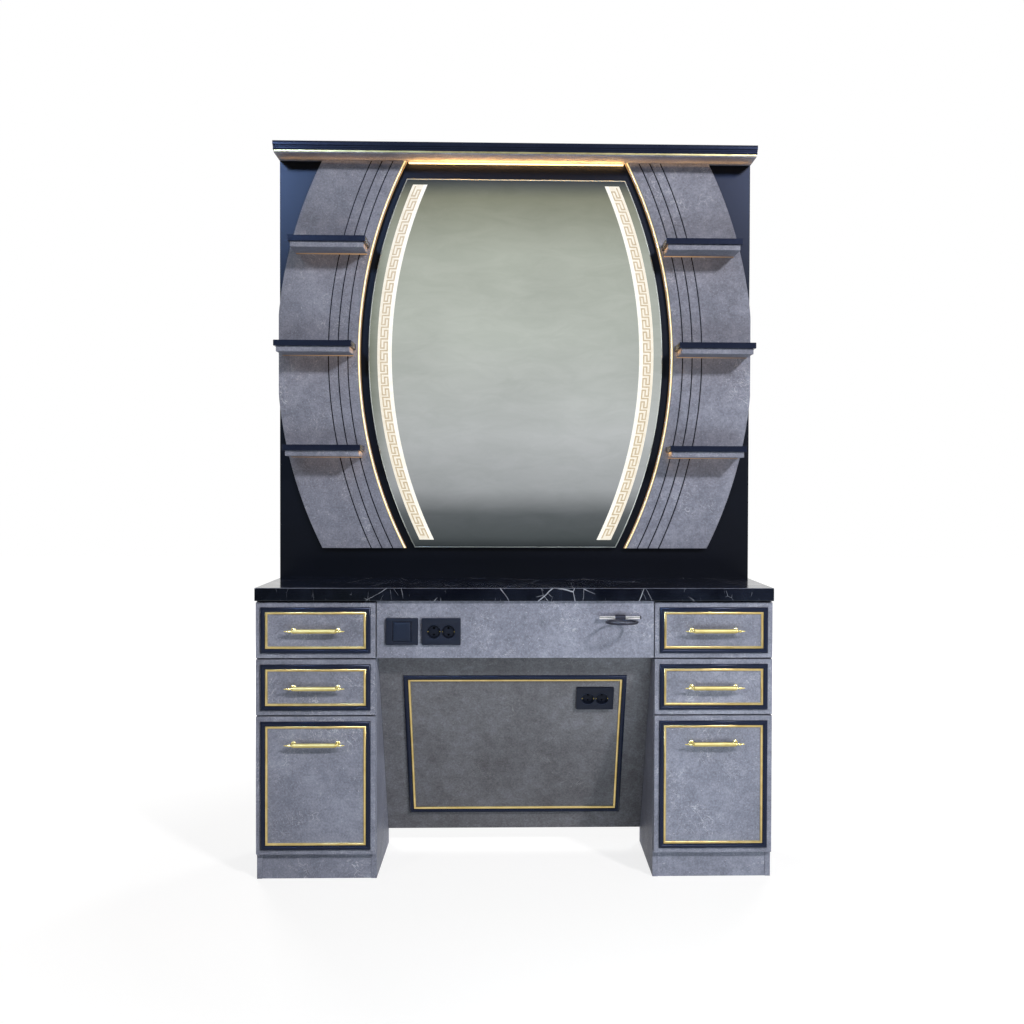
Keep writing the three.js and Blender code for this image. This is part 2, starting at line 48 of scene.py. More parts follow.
mm = 0.001
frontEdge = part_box("worktop")[0].y  # depths below are counted back from the worktop's front edge
stationPlace = Matrix.Translation((0, frontEdge, 0)) @ Matrix.Scale(mm, 4)
sides = {"left": -1, "right": 1}
shelfLevels = ("low", "middle", "high")
jointGap = 0.3  # between boards that lie on each other


# Camera at the photo's viewing angle; the image is taken to be square
cameraView = dict(
    imagePixels=1024, focalPixels=1081.7, sensor=36, middle=(537.64, 501.82), place=(-16.92, -3116.41, 1144.42),
    yaw=-0.0254, pitch=-0.0146, roll=-0.0029,
)


def addCamera(view):
    lens = bpy.data.cameras.new("camera")
    pixels, (across, down) = view["imagePixels"], view["middle"]
    lens.sensor_width = view["sensor"]
    lens.lens = view["focalPixels"] / pixels * lens.sensor_width
    lens.shift_x, lens.shift_y = 0.5 - across / pixels, down / pixels - 0.5
    turn = (Matrix.Rotation(view["yaw"], 3, "Z") @ Matrix.Rotation(view["pitch"], 3, "X")
            @ Matrix.Rotation(view["roll"], 3, "Y"))
    right, forward, up = turn.col
    camera = bpy.data.objects.new("camera", lens)
    camera.matrix_world = Matrix.Translation(stationPlace @ Vector(view["place"])) @ Matrix(
        (right, up, -forward)).transposed().to_4x4()
    scene.collection.objects.link(camera)
    scene.camera = camera


addCamera(cameraView)
print("camera placed")


# Mesh helpers: everything is drawn in millimetres as (x, depth, height) and placed by makePiece

def easeEdges(bm, verts, ease=0.8, steps=2):
    sharp = 0.5  # radians between the faces
    if ease:
        edges = {edge for vert in verts for edge in vert.link_edges}
        edges = [edge for edge in edges if len(edge.link_faces) == 2 and edge.calc_face_angle() > sharp]
        bmesh.ops.bevel(bm, geom=edges, offset=ease, segments=steps, profile=0.5, affect="EDGES",
                        clamp_overlap=True)


def board(bm, xs, depths, heights, ease=0.8, steps=2):
    low = Vector((min(xs), min(depths), min(heights)))
    high = Vector((max(xs), max(depths), max(heights)))
    size = Matrix.Diagonal((*(high - low), 1))
    made = bmesh.ops.create_cube(bm, size=1, matrix=Matrix.Translation((low + high) / 2) @ size)
    easeEdges(bm, made["verts"], ease, steps)


def plate(bm, outline, depths, ease=0.8, steps=2):
    front = [bm.verts.new((x, depths[0], z)) for x, z in outline]
    back = [bm.verts.new((x, depths[1], z)) for x, z in outline]
    faces = [bm.faces.new(front), bm.faces.new(back[::-1])]
    for step in range(len(outline)):
        after = (step + 1) % len(outline)
        faces.append(bm.faces.new((front[after], front[step], back[step], back[after])))
    bmesh.ops.recalc_face_normals(bm, faces=faces)
    easeEdges(bm, front + back, ease, steps)


def ringed(bm, rings, ends="open"):
    # faces between neighbouring rings of points; a ring of one point makes a tip
    rings = [[bm.verts.new(point) for point in ring] for ring in rings]
    for low, high in zip(rings, rings[1:] + rings[:1] if ends == "joined" else rings[1:]):
        count = max(len(low), len(high))
        for step in range(count if count > 1 else 0):
            after = (step + 1) % count
            corners = [low[step % len(low)], low[after % len(low)],
                       high[after % len(high)], high[step % len(high)]]
            bm.faces.new(list(dict.fromkeys(corners)))
    if ends == "capped":
        for ring in (rings[0], rings[-1]):
            bm.faces.new(ring)


def around(count):
    return [2 * math.pi * step / count for step in range(count)]


def lathe(bm, start, direction, profile, steps):
    # profile holds (along, radius)
    axis = Vector(direction).normalized()
    across = axis.orthogonal().normalized()
    other = axis.cross(across)
    ringed(bm, [[Vector(start) + axis * along + (across * math.cos(turn) + other * math.sin(turn)) * radius
                 for turn in (around(steps) if radius else [0])] for along, radius in profile])


def hoop(bm, middle, radius, wire, steps, wireSteps):
    rings = []
    for turn in around(steps):
        out, up = Vector((math.cos(turn), math.sin(turn), 0)), Vector((0, 0, 1))
        rings.append([Vector(middle) + out * (radius + wire * math.cos(bend)) + up * (wire * math.sin(bend))
                      for bend in around(wireSteps)])
    ringed(bm, rings, "joined")


def circle(x, z, radius, steps):
    return [(x + radius * math.cos(turn), z + radius * math.sin(turn)) for turn in around(steps)]


def roundedBox(halfWidth, halfHeight, corner, steps=4):
    points = []
    for quarter, (sx, sz) in enumerate(((1, 1), (-1, 1), (-1, -1), (1, -1))):
        for step in range(steps + 1 if corner else 1):
            turn = (quarter + step / steps) * math.pi / 2
            points.append((sx * (halfWidth - corner) + corner * math.cos(turn),
                           sz * (halfHeight - corner) + corner * math.sin(turn)))
    return points


def boxRings(bm, middle, rings, back, corner=0, ends="joined"):
    # rings hold (half width, half height, proud)
    ringed(bm, [[(middle[0] + x, back - proud, middle[1] + z) for x, z in roundedBox(*halves, corner)]
                for *halves, proud in rings], ends)


def cutPlate(bm, loops, depths, ease):
    # a flat plate with holes: the first loop is its outline, the others are cut out of it
    curve = bpy.data.curves.new("cutPlate", "CURVE")
    curve.dimensions, curve.fill_mode = "2D", "BOTH"
    curve.extrude = (depths[1] - depths[0]) / 2 - ease
    curve.bevel_depth, curve.bevel_resolution, curve.offset = ease, 1, -ease
    for loop in loops:
        spline = curve.splines.new("POLY")
        spline.points.add(len(loop) - 1)
        for point, (x, z) in zip(spline.points, loop):
            point.co = (x, z, 0, 1)
        spline.use_cyclic_u = True
    carrier = bpy.data.objects.new("cutPlate", curve)
    mesh = bpy.data.meshes.new_from_object(carrier)
    mesh.transform(Matrix.Translation((0, sum(depths) / 2, 0)) @ Matrix.Rotation(math.pi / 2, 4, "X"))
    earlier = set(bm.verts)
    bm.from_mesh(mesh)
    bmesh.ops.remove_doubles(bm, verts=[vert for vert in bm.verts if vert not in earlier], dist=0.001)
    bpy.data.objects.remove(carrier)
    bpy.data.curves.remove(curve)
    bpy.data.meshes.remove(mesh)


def makePiece(name, bm, finish, body="station", replaced=(), smooth=0, placing=stationPlace):
    bmesh.ops.recalc_face_normals(bm, faces=bm.faces)
    bm.transform(placing)
    mesh = bpy.data.meshes.new(name)
    bm.to_mesh(mesh)
    bm.free()
    mesh.materials.append(finish["material"])
    if smooth:
        mesh.polygons.foreach_set("use_smooth", [True] * len(mesh.polygons))
        mesh.set_sharp_from_angle(angle=math.radians(smooth))
    piece = bpy.data.objects.new(name, mesh)
    scene.collection.objects.link(piece)
    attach(piece, body)
    if replaced:
        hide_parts(*replaced)
    return piece


def drawn(name, finish, draw, rows, **settings):
    # a piece made by one of the helpers above; each row holds what that helper takes
    bm = bmesh.new()
    for row in rows:
        draw(bm, *row)
    return makePiece(name, bm, finish, **settings)


def nodeBox(node):
    low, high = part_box(node)
    back = stationPlace.inverted()
    return tuple(zip(back @ low, back @ high))


def boardPiece(name, node, finish, body="station", ease=0.8, steps=2):
    return drawn(name, finish, board, [(*nodeBox(node), ease, steps)], body=body, replaced=(node,))


def softened(name, node, finish):
    # the node's own shape with its edges eased
    bm = bmesh.new()
    bm.from_mesh(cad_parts[node].data)
    bm.transform(stationPlace.inverted())
    bmesh.ops.remove_doubles(bm, verts=bm.verts, dist=0.01)
    bmesh.ops.dissolve_limit(bm, angle_limit=0.01, verts=bm.verts, edges=bm.edges)
    easeEdges(bm, list(bm.verts))
    return makePiece(name, bm, finish, replaced=(node,))


# Finish helpers: each finish holds its material, the record's slot and its node tree

def tone(red, green, blue):
    def linear(level):
        level /= 255
        return level / 12.92 if level < 0.04045 else ((level + 0.055) / 1.055) ** 2.4
    return linear(red), linear(green), linear(blue), 1


def grey(level):
    return level, level, level, 1


def feed(socket, value):
    if isinstance(value, bpy.types.NodeSocket):
        socket.id_data.links.new(value, socket)
    else:
        socket.default_value = value


def startFinish(name, slotName, sockets):
    material = bpy.data.materials.new(name)
    material.use_nodes = True
    tree = material.node_tree
    finish = {"material": material, "slot": slotName, "tree": tree, "bsdf": tree.nodes["Principled BSDF"]}
    for key, value in sockets.items():
        finish["bsdf"].inputs[key].default_value = value
    return finish


def sheen(look):
    return {"Specular IOR Level": look["specular"], "Specular Tint": look["tint"]}


def addNode(tree, kind, sockets=None, **settings):
    node = tree.nodes.new("ShaderNode" + kind)
    for key, value in settings.items():
        setattr(node, key, value)
    for key, value in (sockets or {}).items():
        feed(node.inputs[key], value)
    return node


def objectPlace(tree):
    return addNode(tree, "TexCoord").outputs["Object"]


def placeOn(finish, stretch=(1, 1, 1)):
    # each board is cut from another part of the sheet, so its pattern starts at its own place
    tree = finish["tree"]
    pick = addNode(tree, "ObjectInfo").outputs["Random"]
    shift = addNode(tree, "VectorMath", {0: pick, 1: (17, 29, 11)}, operation="MULTIPLY").outputs[0]
    return addNode(tree, "Mapping", {"Vector": objectPlace(tree), "Location": shift, "Scale": stretch}).outputs[0]


# These helpers find the node tree from a socket that they are given

def cloud(place, scale, detail=4, roughness=0.55, distortion=0):
    sockets = {"Vector": place, "Scale": scale, "Detail": detail, "Roughness": roughness, "Distortion": distortion}
    return addNode(place.id_data, "TexNoise", sockets).outputs[0]


def ramp(factor, *stops):
    node = addNode(factor.id_data, "ValToRGB", {"Fac": factor})
    elements = node.color_ramp.elements
    elements[0].position, elements[0].color = stops[0]
    elements[1].position, elements[1].color = stops[-1]
    for position, colour in stops[1:-1]:
        elements.new(position).color = colour
    return node.outputs[0]


def greyRamp(factor, levels, start=0.3, end=0.7):
    return ramp(factor, (start, grey(levels[0])), (end, grey(levels[1])))


def toneRamp(factor, low, high, start=0.35, end=0.65):
    return ramp(factor, (start, tone(*low)), (end, tone(*high)))


def mapped(value, start, end, first, last):
    return addNode(value.id_data, "MapRange", {0: value, 1: start, 2: end, 3: first, 4: last}).outputs[0]


def reckon(operation, *values):
    tree = next(value.id_data for value in values if isinstance(value, bpy.types.NodeSocket))
    return addNode(tree, "Math", dict(enumerate(values)), operation=operation).outputs[0]


def mixed(factor, first, second, blend="MIX"):
    return addNode(first.id_data, "Mix", {0: factor, 6: first, 7: second}, data_type="RGBA",
                   blend_type=blend).outputs[2]


def thinVeins(place, scale, width, distortion, detail=3):
    ridge = reckon("SUBTRACT", cloud(place, scale, detail, 0.5, distortion), 0.5)
    return greyRamp(reckon("ABSOLUTE", ridge), (1, 0), 0, width)


def dress(finish, colour, roughness, height=None, strength=0):
    inputs = finish["bsdf"].inputs
    if colour is not None:
        feed(inputs["Base Color"], colour)
    feed(inputs["Roughness"], roughness)
    if height is not None:
        bump = addNode(finish["tree"], "Bump", {"Height": height, "Strength": strength, "Distance": 0.0005})
        feed(inputs["Normal"], bump.outputs[0])
    return finish


# Grey stone laminate: clouds, mottling, pale scratches, dark cracks and specks
stoneLook = dict(
    deep=tone(108, 111, 124), middle=tone(130, 133, 148), pale=tone(152, 156, 172), scratch=tone(208, 209, 220),
    hair=tone(62, 62, 70), gloss=(0.41, 0.56), bump=0.08, specular=0.1, tint=(1, 0.85, 0.6, 1),
    # clouds: scale, detail, roughness, distortion
    clouds=(4.5, 4, 0.55, 0.5), mottle=(30, 5, 0.65, 0.4), fine=(170, 4, 0.7), grain=(620, 2),
    scratchPatches=(8, 2), crackPatches=(6, 2), specks=(240, 2, 0.6),
    # veins: scale, width, distortion, detail
    scratches=(13, 0.008, 1.8, 4), hairs=(36, 0.013, 1.2), cracks=(9, 0.004, 2.4, 5),
    # how much of each shows
    cloudShare=0.3, fineShare=0.4, hairShare=0.7, scratchShare=0.75, crackShare=0.5, speckShare=0.65,
    grainShare=0.3,
)
# Painted shade: a darker, warmer copy of the grey stone for the sloping modesty panel, standing in for the shade
# under the worktop
kneeShadeLook = dict(stoneLook, deep=tone(92, 91, 95), middle=tone(112, 112, 117), pale=tone(132, 133, 140),
                scratch=tone(154, 154, 158))


def stoneFinish(name, slotName, look):
    finish = startFinish(name, slotName, sheen(look))
    place = placeOn(finish)
    clouds, mottle, fine, grain, scratchPatches, crackPatches, specks = (
        cloud(place, *look[key])
        for key in ("clouds", "mottle", "fine", "grain", "scratchPatches", "crackPatches", "specks"))
    scratches, hairs, cracks = (thinVeins(place, *look[key]) for key in ("scratches", "hairs", "cracks"))
    body = reckon("MULTIPLY", fine, look["fineShare"])
    for part in (mottle, clouds):
        body = reckon("MULTIPLY_ADD", part, look["cloudShare"], body)
    colour = ramp(body, (0.38, look["deep"]), (0.5, look["middle"]), (0.62, look["pale"]))
    marks = reckon("MAXIMUM", scratches, reckon("MULTIPLY", hairs, look["hairShare"]))
    marks = reckon("MULTIPLY", marks, greyRamp(scratchPatches, (0, 1), 0.5, 0.64))
    colour = mixed(reckon("MULTIPLY", marks, look["scratchShare"]), colour, look["scratch"])
    cracks = reckon("MULTIPLY", cracks, greyRamp(crackPatches, (0, look["crackShare"]), 0.56, 0.66))
    colour = mixed(cracks, colour, look["hair"])
    specks = reckon("MULTIPLY", greyRamp(specks, (0, 1), 0.67, 0.74), look["speckShare"])
    colour = mixed(specks, colour, look["scratch"])
    colour = mixed(look["grainShare"], colour, greyRamp(grain, (0.3, 0.7)), "OVERLAY")
    return dress(finish, colour, greyRamp(mottle, look["gloss"], 0.35, 0.65), grain, look["bump"])


# Black marble laminate: polished, with sparse white veins
marbleLook = dict(
    ground=tone(8, 11, 21), cloud=tone(19, 24, 39), vein=tone(196, 200, 212), specular=0.4,
    tint=(0.8, 0.9, 1, 1), gloss=(0.1, 0.2), bump=0.02, clouds=(7, 6, 0.62, 0.6), grain=(300, 2),
    warpScale=9, warp=(0.022, 0.022, 0.022), slant=(0.3, 0.5, 0.2), stretch=(1, 0.6, 0.45), fade=0.06,
    # veins: scale, width, where they start, strength
    veins=[(6, 0.005, 0.5, 0.9), (12, 0.005, 0.53, 0.75), (24, 0.006, 0.57, 0.45)],
)


def marbleFinish(look):
    finish = startFinish("blackMarble", "black_marble", sheen(look))
    place = placeOn(finish)
    clouds = cloud(place, *look["clouds"])
    tree = finish["tree"]
    drift = addNode(tree, "TexNoise", {"Vector": place, "Scale": look["warpScale"], "Detail": 3}).outputs[1]
    warp = addNode(tree, "VectorMath", {0: drift, 1: look["warp"]}, operation="MULTIPLY").outputs[0]
    warped = addNode(tree, "VectorMath", {0: place, 1: warp}, operation="ADD").outputs[0]
    turned = {"Vector": warped, "Rotation": look["slant"], "Scale": look["stretch"]}
    slant = addNode(tree, "Mapping", turned).outputs[0]
    marks = 0
    for scale, width, start, strength in look["veins"]:
        crack = addNode(tree, "TexVoronoi", {"Vector": slant, "Scale": scale}, feature="DISTANCE_TO_EDGE")
        line = greyRamp(crack.outputs[0], (1, 0), 0, width)
        sparse = greyRamp(cloud(place, scale * 0.8, 2), (0, strength), start, start + look["fade"])
        marks = reckon("MAXIMUM", marks, reckon("MULTIPLY", line, sparse))
    colour = ramp(clouds, (0.42, look["ground"]), (0.72, look["cloud"]))
    return dress(finish, mixed(marks, colour, look["vein"]), greyRamp(clouds, look["gloss"]),
                 cloud(place, *look["grain"]), look["bump"])


# Dark foils and laminates: a faint cloud in the colour and a fine pressed texture
darkLooks = {
    "navyFoil": dict(slot="navy_trim", low=(23, 28, 46), high=(33, 39, 57), rough=(0.2, 0.28), specular=0.16,
        tint=(0.7, 0.78, 1, 1), grain=30, bump=0.04),
    "towerLaminateAndGrooveShade": dict(slot="tower_black", low=(7, 9, 15), high=(11, 13, 22), rough=(0.3, 0.36), specular=0.2,
        tint=(0.8, 0.86, 1, 1), grain=60, bump=0.05),
    "switchPlastic": dict(low=(13, 17, 30), high=(19, 24, 39), bump=0.12),
    # a lighter plastic for the rocker, also used as a painted highlight on the socket wells' lips
    "keyAndRimHighlightPlastic": dict(low=(18, 25, 41), high=(25, 33, 51), rough=(0.38, 0.5), bump=0.12),
    # a darker copy of the cover plastic for the socket wells: painted shade in the recesses
    "shadedWellPlastic": dict(low=(9, 12, 22), high=(14, 18, 30), specular=0.2),
    # near black, so that the pin holes show painted shade
    "holeShadePlastic": dict(low=(2, 3, 5), high=(4, 5, 8), rough=(0.5, 0.6), specular=0.1),
    "darkRubberAndRecessShade": dict(low=(18, 18, 30), high=(29, 30, 44), rough=(0.3, 0.42), specular=0.5,
        tint=(0.85, 0.88, 1, 1), grain=260),
    # a lighter grey for the worktop's rounded front arris
    "paleArris": dict(slot="black_marble", low=(70, 74, 88), high=(120, 124, 138), rough=(0.25, 0.4), specular=0.5,
        tint=(0.9, 0.95, 1, 1), grain=20, bump=0.04),
}


def darkFinish(name, low, high, slot="switch_black", rough=(0.42, 0.55), specular=0.3, tint=(0.8, 0.88, 1, 1),
               grain=500, bump=0.1):
    finish = startFinish(name, slot, {"Specular IOR Level": specular, "Specular Tint": tint})
    pressed = cloud(placeOn(finish, [grain] * 3), 8, 4, 0.6)
    drift = reckon("MULTIPLY", cloud(placeOn(finish), 5, 3), 0.6)
    colour = toneRamp(reckon("MULTIPLY_ADD", pressed, 0.4, drift), low, high)
    return dress(finish, colour, greyRamp(pressed, rough), pressed, bump)


# Metals: brushed or polished, with small differences in tone and gloss
metalLooks = {
    "brass": dict(low=(214, 198, 128), high=(236, 224, 162), rough=(0.16, 0.3), brush=(300, 300, 300)),
    "satinBrass": dict(low=(196, 180, 114), high=(210, 195, 132), rough=(0.5, 0.6), brush=(500, 500, 500)),
    "gilt": dict(low=(204, 178, 112), high=(222, 199, 136), rough=(0.3, 0.36), brush=(14, 14, 14), bump=0.002),
    "dullGilt": dict(low=(150, 138, 90), high=(174, 160, 110), rough=(0.3, 0.38), brush=(14, 14, 14), bump=0.002),
    "chrome": dict(slot="chrome", low=(214, 215, 218), high=(236, 236, 238), rough=(0.06, 0.16),
        brush=(120, 120, 120)),
    "runnerSteel": dict(slot="chrome", low=(160, 163, 168), high=(196, 198, 202), rough=(0.3, 0.46),
        brush=(40, 900, 40)),
    "aluminium": dict(slot="chrome", low=(188, 188, 190), high=(214, 214, 214), rough=(0.28, 0.4),
        brush=(60, 60, 500)),
}


def metalFinish(name, low, high, rough, brush, slot="brass", bump=0.05):
    finish = startFinish(name, slot, {"Metallic": 1})
    brushed = cloud(placeOn(finish, brush), 1, 3, 0.6)
    stains = cloud(placeOn(finish), 35, 4)
    return dress(finish, toneRamp(stains, low, high), greyRamp(brushed, rough), brushed, bump)


# Plain pieces inside: white melamine, fibreboard and nylon
plainLooks = {
    "whiteMelamine": dict(slot="box_white", low=(212, 211, 207), high=(226, 225, 221), rough=(0.38, 0.5),
        scale=160),
    "fibreboard": dict(slot="back_board", low=(70, 68, 68), high=(104, 101, 99), rough=(0.6, 0.8), scale=300),
    "nylon": dict(slot="box_white", low=(222, 222, 218), high=(236, 236, 232), rough=(0.3, 0.42), scale=220),
}


def plainFinish(name, slot, low, high, rough, scale):
    finish = startFinish(name, slot, {"Specular IOR Level": 0.4})
    fibres = cloud(placeOn(finish), scale, 5, 0.65)
    return dress(finish, toneRamp(fibres, low, high, 0.32, 0.68), greyRamp(fibres, rough), fibres, 0.06)


# Mirror silvering with faint wiping marks, and the polished rim of the glass
silverLook = dict(low=(231, 234, 231), high=(240, 242, 240), rough=(0.02, 0.05), wipe=(3, 3, 9))
rimLook = dict(low=(196, 206, 202), high=(214, 222, 218), rough=(0.1, 0.25), grind=(200, 200, 200))


def silverFinish(low, high, rough, wipe):
    finish = startFinish("silvering", "mirror", {"Metallic": 1})
    wiped = cloud(placeOn(finish, wipe), 2.2, 4, 0.6, 0.6)
    return dress(finish, toneRamp(wiped, low, high), greyRamp(wiped, rough, 0.4, 0.7))


def rimFinish(low, high, rough, grind):
    finish = startFinish("polishedRim", "mirror", {"Metallic": 0.35, "Specular IOR Level": 0.8})
    ground = cloud(placeOn(finish, grind), 1, 3)
    return dress(finish, toneRamp(ground, low, high, 0.3, 0.7), greyRamp(ground, rough), ground, 0.03)


# Lit pieces: diodes behind a diffuser show as a faint rhythm along it. The shelf strips and the edge light's amber
# fringe are no lamps: their glow is painted light.
lightLooks = {
    "edgeGlow": dict(low=(1, 0.75, 0.31, 1), high=(1, 0.83, 0.4, 1), strength=1.2, skin=(120, 110, 92)),
    # painted glow: a faint amber fringe beside the edge light, standing in for its halo; it is no lamp
    "paintedAmberFringe": dict(low=(1, 0.56, 0.2, 1), high=(1, 0.62, 0.26, 1), strength=0.3, skin=(90, 74, 50)),
    "crownGlow": dict(low=(1, 0.78, 0.38, 1), high=(1, 0.84, 0.46, 1), strength=2, skin=(120, 110, 92)),
    "paintedShelfGlow": dict(low=(1, 0.52, 0.2, 1), high=(1, 0.58, 0.26, 1), strength=0.5, skin=(120, 104, 84),
        fade=(0.47, 0.74, 1, 0.12)),  # painted light, brightest at the shelf's inner end beside the edge light
    "frostedGlow": dict(low=tone(243, 233, 212), high=tone(251, 244, 227), strength=0.88,
        skin=(92, 90, 84), pitch=55),
    "frostedEdge": dict(low=tone(252, 247, 234), high=tone(255, 253, 246), strength=0.95,
        skin=(92, 92, 88), pitch=55),
    "meanderGold": dict(low=tone(200, 181, 148), high=tone(214, 196, 164), strength=0.86,
        skin=(80, 70, 52), pitch=80),
}


def litFinish(name, low, high, strength, skin, pitch=120, fade=None):
    finish = startFinish(name, "warm_light", {"Base Color": tone(*skin), "Emission Strength": strength})
    rhythm = cloud(placeOn(finish), pitch, 2)
    colour = ramp(rhythm, (0.35, low), (0.65, high))
    if fade:
        x = addNode(finish["tree"], "SeparateXYZ", {0: objectPlace(finish["tree"])}).outputs[0]
        colour = mixed(1, colour, mapped(reckon("ABSOLUTE", x), *fade), "MULTIPLY")
    feed(finish["bsdf"].inputs["Emission Color"], colour)
    return dress(finish, None, greyRamp(rhythm, (0.35, 0.5)), rhythm, 0.05)


stone = stoneFinish("greyStone", "grey_stone", stoneLook)
kneeShadeStone = stoneFinish("kneeShadeStone", "knee_stone", kneeShadeLook)
marble = marbleFinish(marbleLook)
navyFoil, towerLaminateAndGrooveShade, switchPlastic, keyAndRimHighlightPlastic, shadedWellPlastic, holeShadePlastic, darkRubberAndRecessShade, paleArris = (
    darkFinish(name, **look) for name, look in darkLooks.items())
brass, satinBrass, gilt, dullGilt, chrome, runnerSteel, aluminium = (
    metalFinish(name, **look) for name, look in metalLooks.items())
melamine, fibreboard, nylon = (plainFinish(name, **look) for name, look in plainLooks.items())
silvering, polishedRim = silverFinish(**silverLook), rimFinish(**rimLook)
edgeGlow, paintedAmberFringe, crownGlow, paintedShelfGlow, frostedGlow, frostedEdge, meanderGold = (
    litFinish(name, **look) for name, look in lightLooks.items())
print("finishes made:", len(bpy.data.materials))


# Worktop and the pedestals' carcasses
worktopShape = dict(ease=2.2, steps=4, arrisLean=0.3)  # the rounded front arris is coloured a lighter grey where its faces lean this far toward the front and the top


def worktop(ease, steps, arrisLean):
    piece = boardPiece("marble_worktop", "worktop", marble, ease=ease, steps=steps)
    piece.data.materials.append(paleArris["material"])
    for face in piece.data.polygons:
        if -face.normal.y > arrisLean and face.normal.z > arrisLean:
            face.material_index = 1


worktop(**worktopShape)

railShape = dict(
    skin=1.4, reach=11, height=14, ease=(0.3, 1), aboveFront=49.7, length=306, screws=(0.12, 0.5, 0.88),
    screw=[(0, 0), (0, 3.2), (1.6, 3), (2.4, 1.6), (2.4, 0)], rollerOut=2.6, rollerBack=9,
    roller=[(0, 0), (0, 4.2), (0.8, 5.2), (6.2, 5.2), (7, 4.2), (7, 2), (6, 0)],
)


def runnerRail(name, side, wall, top, depths):
    # a fixed steel channel on the side board, with a nylon roller at its front end
    skin, ease, height = railShape["skin"], railShape["ease"], railShape["height"]
    flange = (wall + side * skin * 0.5, wall + side * railShape["reach"])
    bm = bmesh.new()
    board(bm, (wall, wall + side * skin), depths, (top - height, top), *ease)
    for low in (top - skin, top - height):
        board(bm, flange, depths, (low, low + skin), *ease)
    for share in railShape["screws"]:
        depth = depths[0] + (depths[1] - depths[0]) * share
        lathe(bm, (flange[0], depth, top - height / 2), (side, 0, 0), railShape["screw"], 14)
    makePiece(name, bm, runnerSteel, smooth=35)
    hub = (wall + side * railShape["rollerOut"], depths[0] + railShape["rollerBack"], top - height / 2)
    drawn(f"{name}_roller", nylon, lathe, [(hub, (side, 0, 0), railShape["roller"], 20)], smooth=35)


sideShape = dict(thickness=16, ease=0.7)
drawerRows = {"top": 646, "middle": 481, "deep": 77}  # lower edges of the fronts


def sideBoard(label, side, place):
    node = f"{label}_{place}_side"
    xs, depths, heights = nodeBox(node)
    outward = side if place == "outer" else -side
    face = max(xs, key=lambda x: x * outward)
    wall = face - outward * sideShape["thickness"]
    drawn(f"{node}_board", stone, board, [((face, wall), depths, heights, sideShape["ease"])], replaced=(node,))
    for row, low in drawerRows.items():
        runnerRail(f"{label}_{place}_{row}_rail", -outward, wall, low + railShape["aboveFront"],
                   (depths[0], depths[0] + railShape["length"]))


for label, side in sides.items():
    sideBoard(label, side, "outer")
    sideBoard(label, side, "inner")
    boardPiece(f"{label}_plinth_board", f"{label}_plinth", stone)
    boardPiece(f"{label}_base_board", f"{label}_floor_board", melamine, ease=0.5)
    boardPiece(f"{label}_rear_board", f"{label}_back_board", fibreboard, ease=0.3, steps=1)
print("worktop and pedestals made")


# Drawers: front, moulding with a gilt slip, bar handle, and a white box on steel runners
mouldingShape = dict(
    # inset and proud
    foil=[(0, 0), (0, 3.4), (0.6, 5), (2, 6.7), (4, 7.7), (6, 8), (7.8, 7.5), (9, 6.4), (9.8, 5.7), (11.2, 5.6),
        (12.4, 5.3), (13, 4.5), (13, 0)],
    slip=[(13.3, 0), (13.3, 3.2), (13.8, 4), (15, 4.5), (17, 4.3), (18.8, 3.5), (19.7, 2.6), (20, 1.6), (20, 0)],
)


def moulding(name, middle, width, height, back, node, body="station", placing=stationPlace):
    for part, finish, replaced in (("foil", navyFoil, (node,)), ("slip", gilt, ())):
        rings = [(width / 2 - inset, height / 2 - inset, proud) for inset, proud in mouldingShape[part]]
        drawn(f"{name}_{part}", finish, boxRings, [(middle, rings, back)], body=body, replaced=replaced, smooth=40,
              placing=placing)


handleShape = dict(
    length=174, axisDepth=-14, postSpacing=128, postFoot=11.9, gripHalf=60, gripRadius=6.2, gripRows=96,
    gripSteps=40, knurl=0.22, knurlPitch=5, knurlTurns=10,
    tip=[(0, 0), (0.5, 1), (3, 1.7), (9, 2.4), (12, 2.9), (13, 3.9), (15.4, 4.3), (17.4, 3.9), (18.4, 3),
        (20.5, 2.8), (22, 3.4), (23.2, 5.2), (25.4, 5.6), (26.4, 5), (27, 4.4), (27, 0)],
    post=[(0, 0), (0, 7), (1.4, 7.2), (2.4, 6.2), (3, 4.2), (8, 3.5), (18, 3.5), (21, 4), (23, 4.6), (23.6, 0)],
)


def handle(name, x, z, node, body):
    shape = handleShape
    depth, grip, turns = shape["axisDepth"], shape["gripHalf"], shape["knurlTurns"]
    ends = []
    for end in (-1, 1):  # pointed ends with a bead and a collar, and the posts
        ends.append(((x + end * shape["length"] / 2, depth, z), (-end, 0, 0), shape["tip"], 20))
        ends.append(((x + end * shape["postSpacing"] / 2, shape["postFoot"], z), (0, -1, 0), shape["post"], 20))
    drawn(f"{name}_ends", brass, lathe, ends, body=body, smooth=40)
    rings = []  # the knurled grip
    for row in range(shape["gripRows"] + 1):
        along = -grip + 2 * grip * row / shape["gripRows"]
        twist = 2 * math.pi * along / shape["knurlPitch"]
        loop = []
        for turn in around(shape["gripSteps"]):
            bite = math.cos(turns * turn + twist) * math.cos(turns * turn - twist)
            reach = shape["gripRadius"] + shape["knurl"] * bite
            loop.append((x + along, depth + reach * math.cos(turn), z + reach * math.sin(turn)))
        rings.append(loop)
    drawn(f"{name}_grip", satinBrass, ringed, [(rings, "capped")], body=body, replaced=(node,), smooth=40)


boxShape = dict(
    wall=12, floor=6, floorUp=1, half=145, lip=155.5, endsDown=0.5, ease=0.6, runnerUp=53, runnerBack=0.4,
    web=1.1, webDown=12, webUp=8, foot=2.9, footOut=0.5,
)


